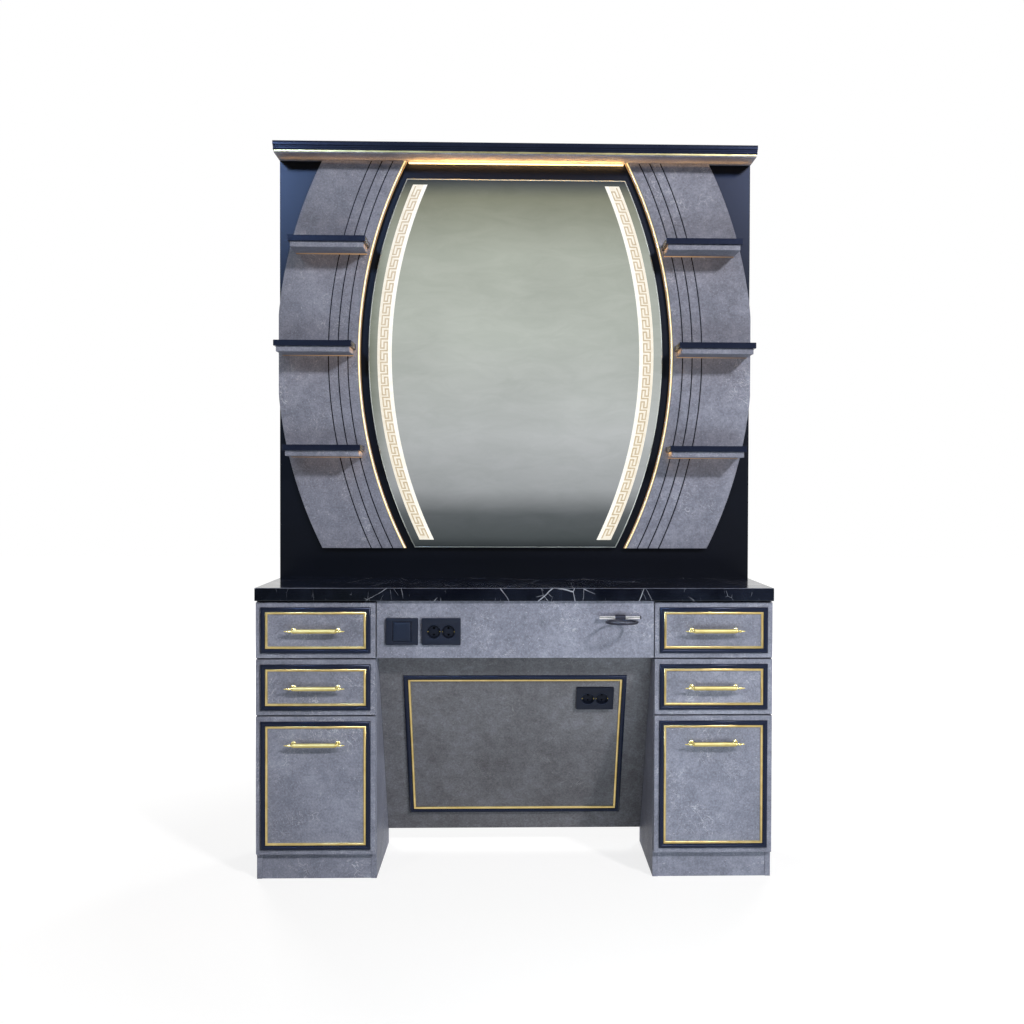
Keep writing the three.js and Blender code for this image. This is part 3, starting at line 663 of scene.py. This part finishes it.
def drawerBox(name, middle, node, frontLow, body):
    shape = boxShape
    (front, back), (low, high) = nodeBox(node)[1:]
    half, wall, ease, floor = shape["half"], shape["wall"], shape["ease"], low + shape["floorUp"]
    inside = (middle - half + wall, middle + half - wall)
    tray = [((middle + end * half, middle + end * (half - wall)), (front, back), (low, high), ease)
            for end in (-1, 1)]
    for reach in ((front, front + wall), (back - wall, back)):
        tray.append((inside, reach, (low, high - shape["endsDown"]), ease))
    tray.append((inside, (front + wall, back - wall), (floor, floor + shape["floor"]), 0.3, 1))
    drawn(f"{name}_tray", melamine, board, tray, body=body, replaced=(node,))
    top, reach, runners = frontLow + shape["runnerUp"], (front + shape["runnerBack"], back), []
    web, webHeights = (half, half + shape["web"]), (top - shape["webDown"], top + shape["webUp"])
    foot, footHeights = (half + shape["footOut"], shape["lip"]), (top - shape["foot"], top)
    for end in (-1, 1):  # a steel web, and a foot that slides on the fixed rail
        runners.append(([middle + end * x for x in web], reach, webHeights, 0.3, 1))
        runners.append(([middle + end * x for x in foot], reach, footHeights, 0.4, 1))
    drawn(f"{name}_runners", runnerSteel, board, runners, body=body)


for label in sides:
    for row, low in drawerRows.items():
        body = f"{label}_{row}_drawer"
        boardPiece(f"{body}_face", f"{body}_front", stone, body, 0.9)
        xs, depths, heights = nodeBox(f"{body}_moulding")
        middle = sum(xs) / 2
        moulding(f"{body}_frame", (middle, sum(heights) / 2), xs[1] - xs[0], heights[1] - heights[0], depths[1],
                 f"{body}_moulding", body)
        handle(f"{body}_pull", middle, sum(nodeBox(f"{body}_handle")[2]) / 2, f"{body}_handle", body)
        drawerBox(body, middle, f"{body}_box", low, body)
print("drawers made")


# Apron with its switch, socket and hair dryer holder
softened("apron_board", "apron", stone)

switchShape = dict(
    middle=(-328, 723.5), face=11.7, corner=2.2, keyCorner=1.2, keyBack=3, axisDepth=6, tilt=-4,
    plate=[(46.5, 38.5, 0), (46.5, 38.5, 7.4), (45.8, 37.8, 8.6), (44.6, 36.6, 9), (28.4, 29.6, 9),
        (27.6, 28.8, 8.4), (26.5, 28.1, 7.6), (26.3, 27.9, 0)],
    rocker=[(25.3, 26.8, 0), (25.3, 26.8, 4.6), (24.8, 26.3, 5.6), (23.9, 25.4, 6), (12, 16, 5.7), (3, 4, 5.6)],
)


def lightSwitch(shape):
    x, z = shape["middle"]
    drawn("switch_cover", switchPlastic, boxRings, [((x, z), shape["plate"], shape["face"], shape["corner"])],
          replaced=("switch_plate",), smooth=30)
    turn = Matrix.Translation((x, shape["axisDepth"], z)) @ Matrix.Rotation(math.radians(shape["tilt"]), 4, "X")
    key = ((0, 0), shape["rocker"], shape["keyBack"], shape["keyCorner"], "capped")
    drawn("switch_key", keyAndRimHighlightPlastic, boxRings, [key], body="rocker", replaced=("switch_rocker",), smooth=25,
          placing=stationPlace @ turn)


lightSwitch(switchShape)

socketShape = dict(
    half=(56, 38.5), corner=2.2, plate=9, ease=0.7, spacing=42, wellRadius=19.5, wellDepth=8, floor=2.4,
    floorIn=0.2, steps=48, pinRadius=3.3, pinSpacing=19, pinSteps=20, backHalf=(43, 26), backGap=8, backDepth=20,
    wall=[(0.3, -0.7), (1.5, -1.1), (8.4, -1.4), (8.4, -0.2), (0.3, -0.2)],
    lip=[(0.5, -0.8), (0, -0.6), (0, 0.9), (-0.5, 1.1), (-0.8, 0.7), (-0.8, -0.2)],
    # earth contacts: across from the well's wall, depths, half height, easing
    clipIn=1.2, clips=[((0, 1.2), (1.2, 8), 1.7, 0.3, 1), ((0.9, 2.4), (3, 6), 1.4, 0.5, 2)],
)


def socket(name, placing):
    # origin at the plate's middle on the board's face; depth runs into the board
    shape = socketShape
    front, radius, steps = -jointGap - shape["plate"], shape["wellRadius"], shape["steps"]
    floor = front + shape["wellDepth"]
    wells = [end * shape["spacing"] / 2 for end in (-1, 1)]
    cups, lips, clips = bmesh.new(), bmesh.new(), []
    loops = [roundedBox(*shape["half"], shape["corner"])] + [circle(x, 0, radius, steps) for x in wells]
    drawn(f"{name}_cover", switchPlastic, cutPlate, [(loops, (front, -jointGap), shape["ease"])], replaced=(name,),
          smooth=30, placing=placing)
    for x in wells:
        holes = [circle(x, end * shape["pinSpacing"] / 2, shape["pinRadius"], shape["pinSteps"])
                 for end in (-1, 1)]
        disc = circle(x, 0, radius - shape["floorIn"], steps)
        cutPlate(cups, [disc, *holes], (floor, floor + shape["floor"]), 0.3)
        for mesh, section in ((cups, shape["wall"]), (lips, shape["lip"])):
            profile = [(along, radius + out) for along, out in section + section[:1]]
            lathe(mesh, (x, front, 0), (0, 1, 0), profile, steps)
        for end in (-1, 1):
            edge = x + end * (radius - shape["clipIn"])
            for across, depths, half, *ease in shape["clips"]:
                clips.append(([edge - end * reach for reach in across], [front + depth for depth in depths],
                              (-half, half), *ease))
    # the wells take the darker plastic: painted shade inside the recesses
    makePiece(f"{name}_wells", cups, shadedWellPlastic, smooth=30, placing=placing)
    # the lips take the lighter key plastic as a painted highlight along the wells' rims
    makePiece(f"{name}_lips", lips, keyAndRimHighlightPlastic, smooth=30, placing=placing)
    halfX, halfZ = shape["backHalf"]
    rear = ((-halfX, halfX), (floor + shape["backGap"], shape["backDepth"]), (-halfZ, halfZ), 2, 3)
    # the rear box is near black so that the pin holes show painted shade
    drawn(f"{name}_rear_box", holeShadePlastic, board, [rear], placing=placing)
    drawn(f"{name}_contacts", brass, board, clips, placing=placing)


socket("apron_socket", stationPlace @ Matrix.Translation((-215, 12, 723.5)))

holderShape = dict(
    x=302, depth=-4, z=765, half=61, posts=46, postFoot=11.9, capLength=3.7, hubHalf=15, ringRadius=43.5,
    wire=3.4, ringSteps=(64, 14), ringDepth=-54.5, ringZ=758, neckHalf=(9, 3), neckFront=1.5, neckBack=2,
    bar=[(0, 0), (0, 4.4), (0.5, 5.1), (1.4, 5.4), (46, 5.4), (46, 4.6), (47, 4.6), (47, 4), (75, 4), (75, 4.6),
        (76, 4.6), (76, 5.4), (117.5, 5.4), (117.5, 0)],
    post=[(0, 0), (0, 5), (1.2, 5.2), (2.2, 4.8), (2.8, 4.4), (16, 4), (16, 0)],
    cap=[(0, 0), (0, 5.4), (2.4, 5.4), (3.4, 4.6), (3.7, 3.4), (3.7, 0)],
    hub=[(0, 4.2), (0, 7.9), (0.8, 8.7), (29.2, 8.7), (30, 7.9), (30, 4.2), (0, 4.2)],
)


def dryerHolder(shape):
    x, depth, z, half = shape["x"], shape["depth"], shape["z"], shape["half"]
    bar = [((x - half, depth, z), (1, 0, 0), shape["bar"], 28)]
    for end in (-1, 1):
        bar.append(((x + end * shape["posts"], shape["postFoot"], z), (0, -1, 0), shape["post"], 24))
    drawn("holder_bar", chrome, lathe, bar, replaced=("dryer_bar",), smooth=35)
    cap = ((x + half - shape["capLength"], depth, z), (1, 0, 0), shape["cap"], 28)
    drawn("holder_end_cap", darkRubberAndRecessShade, lathe, [cap], smooth=35)
    ring = bmesh.new()
    lathe(ring, (x - shape["hubHalf"], depth, z), (1, 0, 0), shape["hub"], 32)
    hoop(ring, (x, shape["ringDepth"], shape["ringZ"]), shape["ringRadius"], shape["wire"], *shape["ringSteps"])
    wide, high = shape["neckHalf"]
    neck = (shape["ringDepth"] + shape["ringRadius"] - shape["neckFront"], depth - shape["neckBack"])
    board(ring, (x - wide, x + wide), neck, (shape["ringZ"] - high, shape["ringZ"] + high), 1.2, 3)
    makePiece("holder_ring", ring, darkRubberAndRecessShade, replaced=("dryer_ring",), smooth=35)


dryerHolder(holderShape)
print("apron fittings made")


# Sloping modesty panel with its moulding and socket
slopeShape = dict(top=(0, 48, 675), angle=math.atan2(287, 625), frame=(664, 517.7), frameTop=102,
                  socket=(239, 0, -182))
slopePlace = stationPlace @ Matrix.Translation(slopeShape["top"]) @ Matrix.Rotation(slopeShape["angle"], 4, "X")
# the modesty board takes the darker stone copy: painted shade of the knee space
softened("modesty_board", "modesty_panel", kneeShadeStone)
slopeMiddle = (0, -slopeShape["frameTop"] - slopeShape["frame"][1] / 2)
moulding("modesty_frame", slopeMiddle, *slopeShape["frame"], -jointGap, "modesty_moulding", placing=slopePlace)
socket("knee_socket", slopePlace @ Matrix.Translation(slopeShape["socket"]))
print("modesty panel made")


# Tower panel and crown
towerShape = dict(
    inset=0.8, ease=0.8, proud=0.5, slot=(5.2, 1.1, 0.06),
    head=[(0, 0), (0, 4.6), (0.25, 4.6), (0.5, 3.7), (0.5, 0)],
    screws={670: (-737, -416, 416, 737), 760: (-737, -416, 416, 737), 831: (-600, -300, 0, 300, 600)},
)


def tower(shape):
    xs, (front, back), heights = nodeBox("tower_panel")
    back -= shape["inset"]  # the screw heads stand in this
    drawn("tower_board", towerLaminateAndGrooveShade, board, [(xs, (front, back), heights, shape["ease"])],
          replaced=("tower_panel",))
    heads, slots = [], []
    long, wide, deep = shape["slot"]
    top = back + shape["proud"]
    for z, places in shape["screws"].items():
        for x in places:
            heads.append(((x, back, z), (0, 1, 0), shape["head"], 24))
            for halfX, halfZ in ((long / 2, wide / 2), (wide / 2, long / 2)):  # the cross recess, drawn as thin dark plates: painted shade
                slots.append(((x - halfX, x + halfX), (top - deep, top + deep), (z - halfZ, z + halfZ), 0))
    drawn("tower_screws", runnerSteel, lathe, heads, smooth=35)
    # painted shade: the screw recesses are dark plates, not hollows
    drawn("tower_screw_slots", darkRubberAndRecessShade, board, slots)


tower(towerShape)

crownShape = dict(
    halfWidth=754, front=258, back=368, strip=(750, 1.3, 2176, 2181.6),
    edge=[(1.6, 2182), (1.2, 2182.6), (1.2, 2188.2), (2.8, 2188.6), (2.8, 2189.6), (1, 2190), (0.7, 2194.4),
        (2.4, 2194.8), (2.4, 2195.8), (0.3, 2196.2), (0, 2198), (0, 2208.6), (0.5, 2209.6),
        (1.6, 2210)],  # inset and height
    channel=1, channelWeb=0.6, channelUp=4.6, diffuserUp=1.6, diffuserIn=1.1,
)


def crown(shape):
    loops = []
    for inset, z in shape["edge"]:
        reach, front, back = shape["halfWidth"] - inset, shape["front"] + inset, shape["back"]
        loops.append([(-reach, back, z), (-reach, front, z), (reach, front, z), (reach, back, z)])
    drawn("crown_top", navyFoil, ringed, [(loops, "capped")], replaced=("crown_board",), smooth=35)
    boardPiece("crown_soffit_board", "crown_soffit", stone, ease=0.4)
    half, thick, *heights = shape["strip"]
    front = nodeBox("crown_soffit")[1][0]
    drawn("crown_gilt_strip", dullGilt, board, [((-half, half), (front - thick, front), heights, 0.5)])
    xs, (front, back), (low, high) = nodeBox("crown_light")
    skin, inset = shape["channel"], shape["diffuserIn"]
    channel = [(xs, (front, back), (high - shape["channelWeb"], high), 0.2, 1)]  # the diffuser clips in it
    for reach in ((front, front + skin), (back - skin, back)):
        channel.append((xs, reach, (low + shape["channelUp"], high - 0.4), 0.3, 1))
    drawn("crown_light_channel", aluminium, board, channel)
    glow = ((xs[0] + 0.5, xs[1] - 0.5), (front + inset, back - inset), (low + shape["diffuserUp"], high - 0.5))
    drawn("crown_light_diffuser", crownGlow, board, [(*glow, 0.9, 3)], replaced=("crown_light",), smooth=40)


crown(crownShape)
print("tower and crown made")


# Curved side panels: stone bands on a dark core, with a light along the inner edge; where the core shows at the
# grooves' floors, its black is painted shade
arcShape = dict(
    bulge=1559, foot=946, top=2172.7, innerRadius=1360, innerWidest=502, outerRadius=1380, outerWidest=756,
    limit=750, grooves=3, groovePitch=30.6, grooveWidth=3.6, grooveDepth=3, lap=0.2, coreInset=0.4, steps=60,
    face=331.7, back=349.7,
)


def reachAt(radius, widest, z):
    return math.sqrt(radius ** 2 - (z - arcShape["bulge"]) ** 2) - (radius - widest)


def levels(low, high):
    steps = arcShape["steps"]
    return [low + (high - low) * step / steps for step in range(steps + 1)]


def offsetArc(offset, low, high, edge="inner"):
    radius, widest = arcShape[edge + "Radius"] + offset, arcShape[edge + "Widest"] + offset
    return [(min(reachAt(radius, widest, z), arcShape["limit"]), z) for z in levels(low, high)]


def sidePanel(label, side):
    foot, top, face, inset = (arcShape[key] for key in ("foot", "top", "face", "coreInset"))
    pitch, half, floor = arcShape["groovePitch"], arcShape["grooveWidth"] / 2, face + arcShape["grooveDepth"]
    grooves = [pitch * (k + 1) for k in range(arcShape["grooves"])]
    outer = offsetArc(0, foot, top, "outer")
    core = offsetArc(inset, foot + inset, top - inset) + [(x - inset, z) for x, z in outer[::-1]]
    # the black core shows at the floors of the grooves as painted shade
    drawn(f"{label}_panel_core", towerLaminateAndGrooveShade, plate,
          [([(side * x, z) for x, z in core], (floor, arcShape["back"]), 0.3, 1)])
    starts = [0] + [groove + half for groove in grooves]
    ends = [offsetArc(groove - half, foot, top) for groove in grooves] + [outer]
    outlines = [offsetArc(start, foot, top) + end[::-1] for start, end in zip(starts, ends)]
    drawn(f"{label}_panel_bands", stone, plate,
          [([(side * x, z) for x, z in outline], (face, floor + arcShape["lap"]), 0.6) for outline in outlines],
          replaced=(f"{label}_side_panel",))


lightShape = dict(
    width=6,
    # sections hold (across, depth)
    channel=[(0, 349.7), (0, 334.6), (1.1, 334.2), (1.1, 346), (4.9, 346), (4.9, 334.2), (6, 334.6), (6, 349.7)],
    diffuser=[(1.3, 345.8), (1.3, 335), (1.6, 334.2), (2.2, 333.8), (3, 333.7), (3.8, 333.8), (4.4, 334.2),
        (4.7, 335), (4.7, 345.8)],
    # a glowing strip beside the channel: painted glow of the edge light on what is next to it
    lip=[(-1.7, 349.6), (-1.7, 336.8), (-1.2, 335.8), (-0.4, 335.4), (-0.1, 335.6), (-0.1, 349.6)],
)


def edgeLight(label, side):
    shift = jointGap + lightShape["width"]
    radius, widest = arcShape["innerRadius"] - shift, arcShape["innerWidest"] - shift
    node = f"{label}_edge_light"
    # the lip part is painted glow of the light's halo, not a lamp
    for part, finish, replaced in (("channel", aluminium, ()), ("diffuser", edgeGlow, (node,)),
                                   ("lip", paintedAmberFringe, ())):
        loops = [[(side * reachAt(radius + across, widest + across, z), depth, z)
                  for across, depth in lightShape[part]] for z in levels(arcShape["foot"], arcShape["top"])]
        drawn(f"{node}_{part}", finish, ringed, [(loops, "capped")], replaced=replaced, smooth=40)


shelfShape = dict(board=18, inset=7, ease=1, stripThick=1.6, stripDeep=7)


def shelf(label, level):
    node = f"{label}_{level}_shelf"
    xs, (front, back), (low, high) = nodeBox(node)
    split, inset = high - shelfShape["board"], shelfShape["inset"]
    drawn(f"{node}_board", navyFoil, board, [(xs, (front, back), (split, high), shelfShape["ease"])],
          replaced=(node,))
    inner = (xs[0] + inset, xs[1] - inset)
    drawn(f"{node}_carrier", stone, board, [(inner, (front + inset, back), (low, split))])
    strip = (back - shelfShape["stripDeep"], back), (low - shelfShape["stripThick"], low)
    drawn(f"{node}_strip", paintedShelfGlow, board, [(inner, *strip, 0.4)])  # painted light: a glowing strip under the carrier stands in for the edge light's glow along its underside; it is no lamp


for label, side in sides.items():
    sidePanel(label, side)
    edgeLight(label, side)
    for level in shelfLevels:
        shelf(label, level)
print("side panels, lights and shelves made")


# Mirror: barrel-shaped glass, its polished rim, and the two frosted bands with a key pattern
glassShape = dict(
    radius=1344, widest=467, low=948, high=2116, front=329.4, silver=(329.4, 334), rim=3.4, backingInset=80,
    edge=[(3.2, 329.5), (0.9, 330.5), (0, 331.6), (0, 333.8), (0.6, 334.4), (3.2, 334.4)],  # inset and depth
)


def barrel(inset, low, high):
    radius, widest = glassShape["radius"] - inset, glassShape["widest"] - inset
    right = [(reachAt(radius, widest, z), z) for z in levels(low, high)]
    return right + [(-x, z) for x, z in right[::-1]]


def mirrorGlass(shape):
    low, high, rim = shape["low"], shape["high"], shape["rim"]
    drawn("mirror_glass", silvering, plate, [(barrel(rim, low + rim, high - rim), shape["silver"], 0.1, 1)],
          replaced=("mirror",))
    loops = [[(x, depth, z) for x, z in barrel(inset, low + inset, high - inset)] for inset, depth in shape["edge"]]
    drawn("mirror_rim", polishedRim, ringed, [(loops, "joined")], smooth=30)
    depths, heights = nodeBox("mirror_backing")[1:]
    drawn("mirror_backing_board", fibreboard, plate, [(barrel(shape["backingInset"], *heights), depths, 0.6)],
          replaced=("mirror_backing",))


bandShape = dict(
    inset=28, width=45.7, stripe=34, top=19, foot=25, pitch=37, line=4.2, margin=12, frost=0.25, gold=0.2,
    key=[(10.4, 0), (10.4, 0.78), (21, 0.78), (21, 0.28), (31.2, 0.28), (31.2, 1)],
)


def bandPoint(side, offset, z):
    # offset is measured across from the mirror's edge, so the band keeps one width
    return side * (reachAt(glassShape["radius"], glassShape["widest"], z) - offset), z


def frostedBand(label, side):
    shape = bandShape
    low, high = glassShape["low"] + shape["foot"], glassShape["high"] - shape["top"]
    near, far = shape["inset"], shape["inset"] + shape["width"]
    face = glassShape["front"] - shape["frost"]
    split = near + shape["stripe"]
    for part, start, end, finish in (("frost", near, split, frostedGlow), ("stripe", split, far, frostedEdge)):
        outline = [bandPoint(side, start, z) for z in levels(low, high)]
        outline += [bandPoint(side, end, z) for z in levels(low, high)][::-1]
        drawn(f"{label}_band_{part}", finish, plate, [(outline, (face, glassShape["front"]), 0)])
    pitch, half = shape["pitch"], shape["line"] / 2
    count = int((high - low - shape["margin"]) / pitch)
    path = [(offset, (unit + along) * pitch) for unit in range(count) for offset, along in shape["key"]]
    start, strokes = high - ((high - low) - count * pitch) / 2, []
    for (offsetA, downA), (offsetB, downB) in zip(path, path[1:]):
        grow = half if offsetA == offsetB else -half  # cross strokes end where the upright ones begin
        left, right = min(offsetA, offsetB) - grow, max(offsetA, offsetB) + grow
        above, below = min(downA, downB) - half, max(downA, downB) + half
        corners = ((left, above), (right, above), (right, below), (left, below))
        outline = [bandPoint(side, near + offset, start - down) for offset, down in corners]
        strokes.append((outline, (face - shape["gold"], face), 0))
    drawn(f"{label}_band_key", meanderGold, plate, strokes)


mirrorGlass(glassShape)
for label, side in sides.items():
    frostedBand(label, side)
print("mirror made")


# Studio: pale floor, white surroundings, soft lamps, and a soft wall that only the mirror and metals see
# floorGlow is the floor's own white by distance: from, to, level near, level far
studio = dict(aim=(0, 0.1, 1.3), skyDiffuse=0.08, floorSize=14, floorPale=0.25, floorGlow=(1.1, 2.8, 0.8, 1))
studioLamps = {  # place, size, power, tint, seen in shiny and in matt surfaces
    "leftKey": ((-3.4, -4.8, 4.3), 0.6, 52, (1, 0.97, 0.95), True, True),
    "rightKey": ((3.4, -4.8, 4.3), 0.6, 306, (1, 0.97, 0.97), True, True),
    "lowFill": ((0.5, -1.5, 0.2), 1, 21, (0.85, 0.95, 1), False, True),
    "leftBack": ((-2.6, 4.2, 2.4), 1.2, 130, (1, 0.99, 0.98), False, True),
    "rightBack": ((2.6, 4.2, 2.4), 1.2, 130, (1, 0.99, 0.98), False, True),
    "leftSheen": ((-1.9, -3.2, 3.3), 0.45, 146, (0.36, 0.55, 1), True, False),
    "rightSheen": ((1.9, -3.2, 3.3), 0.45, 58, (0.42, 0.54, 1), True, False),
}
# The station's own strips throw this light on what is beside them; their pieces only show the lit diffuser
stripLamps = dict(
    tint=(1, 0.5, 0.13), crownWidth=0.008,
    crown={  # place, direction, length, power
        "crownDown": ((0, 343.7, 2168.5), (0, 0.6, -0.8), 0.684, 3.2),
        "crownUp": ((0, 336, 2157), (0, -0.4, 0.9), 0.684, 1),
        "leftCrownUp": ((-550, 321, 2155), (0, -0.5, 0.87), 0.38, 0.055),
        "rightCrownUp": ((550, 321, 2155), (0, -0.5, 0.87), 0.38, 0.075),
    },
    shelfSize=(0.07, 0.004), shelfDepth=285, shelfGap=6, shelfPower=0.022,
    underSize=(0.2, 0.02), underDepth=290, underGap=4, underPower=0.013, underTurn=(0, 0.4, -1),
)
wallLook = dict(
    depth=-5.2, width=7, low=0.01, high=5.2, drift=0.7,
    # from the foot up
    tones=[(0.115, (20, 24, 30)), (0.14, (84, 89, 92)), (0.175, (100, 104, 108)), (0.215, (172, 174, 178)),
        (0.3, (198, 200, 202)), (0.46, (204, 208, 202)), (0.58, (194, 198, 188)), (0.67, (150, 151, 134)),
        (0.7, (60, 66, 80)), (0.74, (24, 28, 40))],
    # across: from, to, and the share at either
    shaded=(-1.16, -0.98, 0.75, 0), shade=tone(108, 113, 94),
    beside=(1.26, 1.5, 0, 0.9), beyond=(1.9, 2.5, 1, 0.1), dark=tone(34, 36, 42),
)


def addPlane(name, corners, material):
    mesh = bpy.data.meshes.new(name)
    mesh.from_pydata(corners, [], [tuple(range(len(corners)))])
    mesh.materials.append(material)
    plane = bpy.data.objects.new(name, mesh)
    scene.collection.objects.link(plane)
    return plane


def addLamp(name, place, direction, size, power, tint, gloss=False, matt=True):
    lamp = bpy.data.lights.new(name, "AREA")
    lamp.shape, lamp.size, lamp.size_y = "RECTANGLE", *size
    lamp.energy, lamp.color = power, tint
    holder = bpy.data.objects.new(name, lamp)
    holder.location = place
    holder.rotation_euler = Vector(direction).to_track_quat("-Z", "Y").to_euler()
    holder.visible_camera, holder.visible_glossy, holder.visible_diffuse = False, gloss, matt
    scene.collection.objects.link(holder)


def lightStrips(look):
    for name, (place, direction, length, power) in look["crown"].items():
        addLamp(name, stationPlace @ Vector(place), direction, (length, look["crownWidth"]), power, look["tint"])
    for label, side in sides.items():
        for level in shelfLevels:
            xs, heights = nodeBox(f"{label}_{level}_shelf")[::2]
            place = Vector((min(xs, key=abs) - side * look["shelfGap"], look["shelfDepth"], sum(heights) / 2))
            addLamp(f"{label}_{level}_glow", stationPlace @ place, (side, 0, 0), look["shelfSize"],
                    look["shelfPower"], look["tint"])
            place = Vector((sum(xs) / 2, look["underDepth"], heights[0] - look["underGap"]))
            addLamp(f"{label}_{level}_under", stationPlace @ place, look["underTurn"], look["underSize"],
                    look["underPower"], look["tint"])


def seenDirectly(tree):
    rays = addNode(tree, "LightPath").outputs
    mirrored = reckon("MAXIMUM", rays["Is Glossy Ray"], rays["Is Transmission Ray"])
    return reckon("MAXIMUM", rays["Is Camera Ray"], mirrored)


def showOnly(finish, shader):
    feed(finish["tree"].nodes["Material Output"].inputs[0], shader.outputs[0])
    return finish["material"]


def floorMaterial(look):
    pale = {"Roughness": 0.9, "Specular IOR Level": 0, "Base Color": grey(look["floorPale"])}
    finish = startFinish("paleFloor", "", pale)
    tree = finish["tree"]
    away = addNode(tree, "VectorMath", {0: objectPlace(tree)}, operation="LENGTH").outputs[1]
    strength = reckon("MULTIPLY", mapped(away, *look["floorGlow"]), seenDirectly(tree))
    glow = addNode(tree, "Emission", {"Color": grey(1), "Strength": strength})
    return showOnly(finish, addNode(tree, "AddShader", {0: finish["bsdf"].outputs[0], 1: glow.outputs[0]}))


def wallMaterial(look):
    finish = startFinish("softWall", "", {})
    coords = objectPlace(finish["tree"])
    split = addNode(finish["tree"], "SeparateXYZ", {0: coords}).outputs
    x, z = split["X"], split["Z"]
    stops = [(height, tone(*colour)) for height, colour in look["tones"]]
    colour = ramp(mapped(z, 0, look["high"], 0, 1), *stops)
    drift = greyRamp(cloud(coords, look["drift"], 2), (0.86, 1), 0.35, 0.65)
    colour = mixed(1, colour, drift, "MULTIPLY")
    colour = mixed(mapped(x, *look["shaded"]), colour, look["shade"])
    away = reckon("ABSOLUTE", x)
    beside = reckon("MULTIPLY", mapped(away, *look["beside"]), mapped(away, *look["beyond"]))
    colour = mixed(beside, colour, look["dark"])
    return showOnly(finish, addNode(finish["tree"], "Emission", {"Color": colour}))


def lightStudio(look, lamps):
    half = look["floorSize"]
    floor = [(-half, -half, 0), (half, -half, 0), (half, half, 0), (-half, half, 0)]
    addPlane("floor", floor, floorMaterial(look))
    wide, deep, low, high = (wallLook[key] for key in ("width", "depth", "low", "high"))
    upright = [(-wide, deep, low), (wide, deep, low), (wide, deep, high), (-wide, deep, high)]
    wall = addPlane("soft_wall", upright, wallMaterial(wallLook))
    wall.visible_camera = wall.visible_diffuse = wall.visible_shadow = wall.visible_transmission = False
    for name, (place, size, power, tint, gloss, matt) in lamps.items():
        addLamp(name, place, Vector(look["aim"]) - Vector(place), (size, size), power, tint, gloss, matt)
    scene.world = bpy.data.worlds.new("studioWhite")
    scene.world.use_nodes = True
    tree = scene.world.node_tree
    sky = tree.nodes["Background"].inputs
    feed(sky["Color"], grey(1))
    feed(sky["Strength"], mapped(seenDirectly(tree), 0, 1, look["skyDiffuse"], 1))


lightStrips(stripLamps)
lightStudio(studio, studioLamps)
print("studio lit")
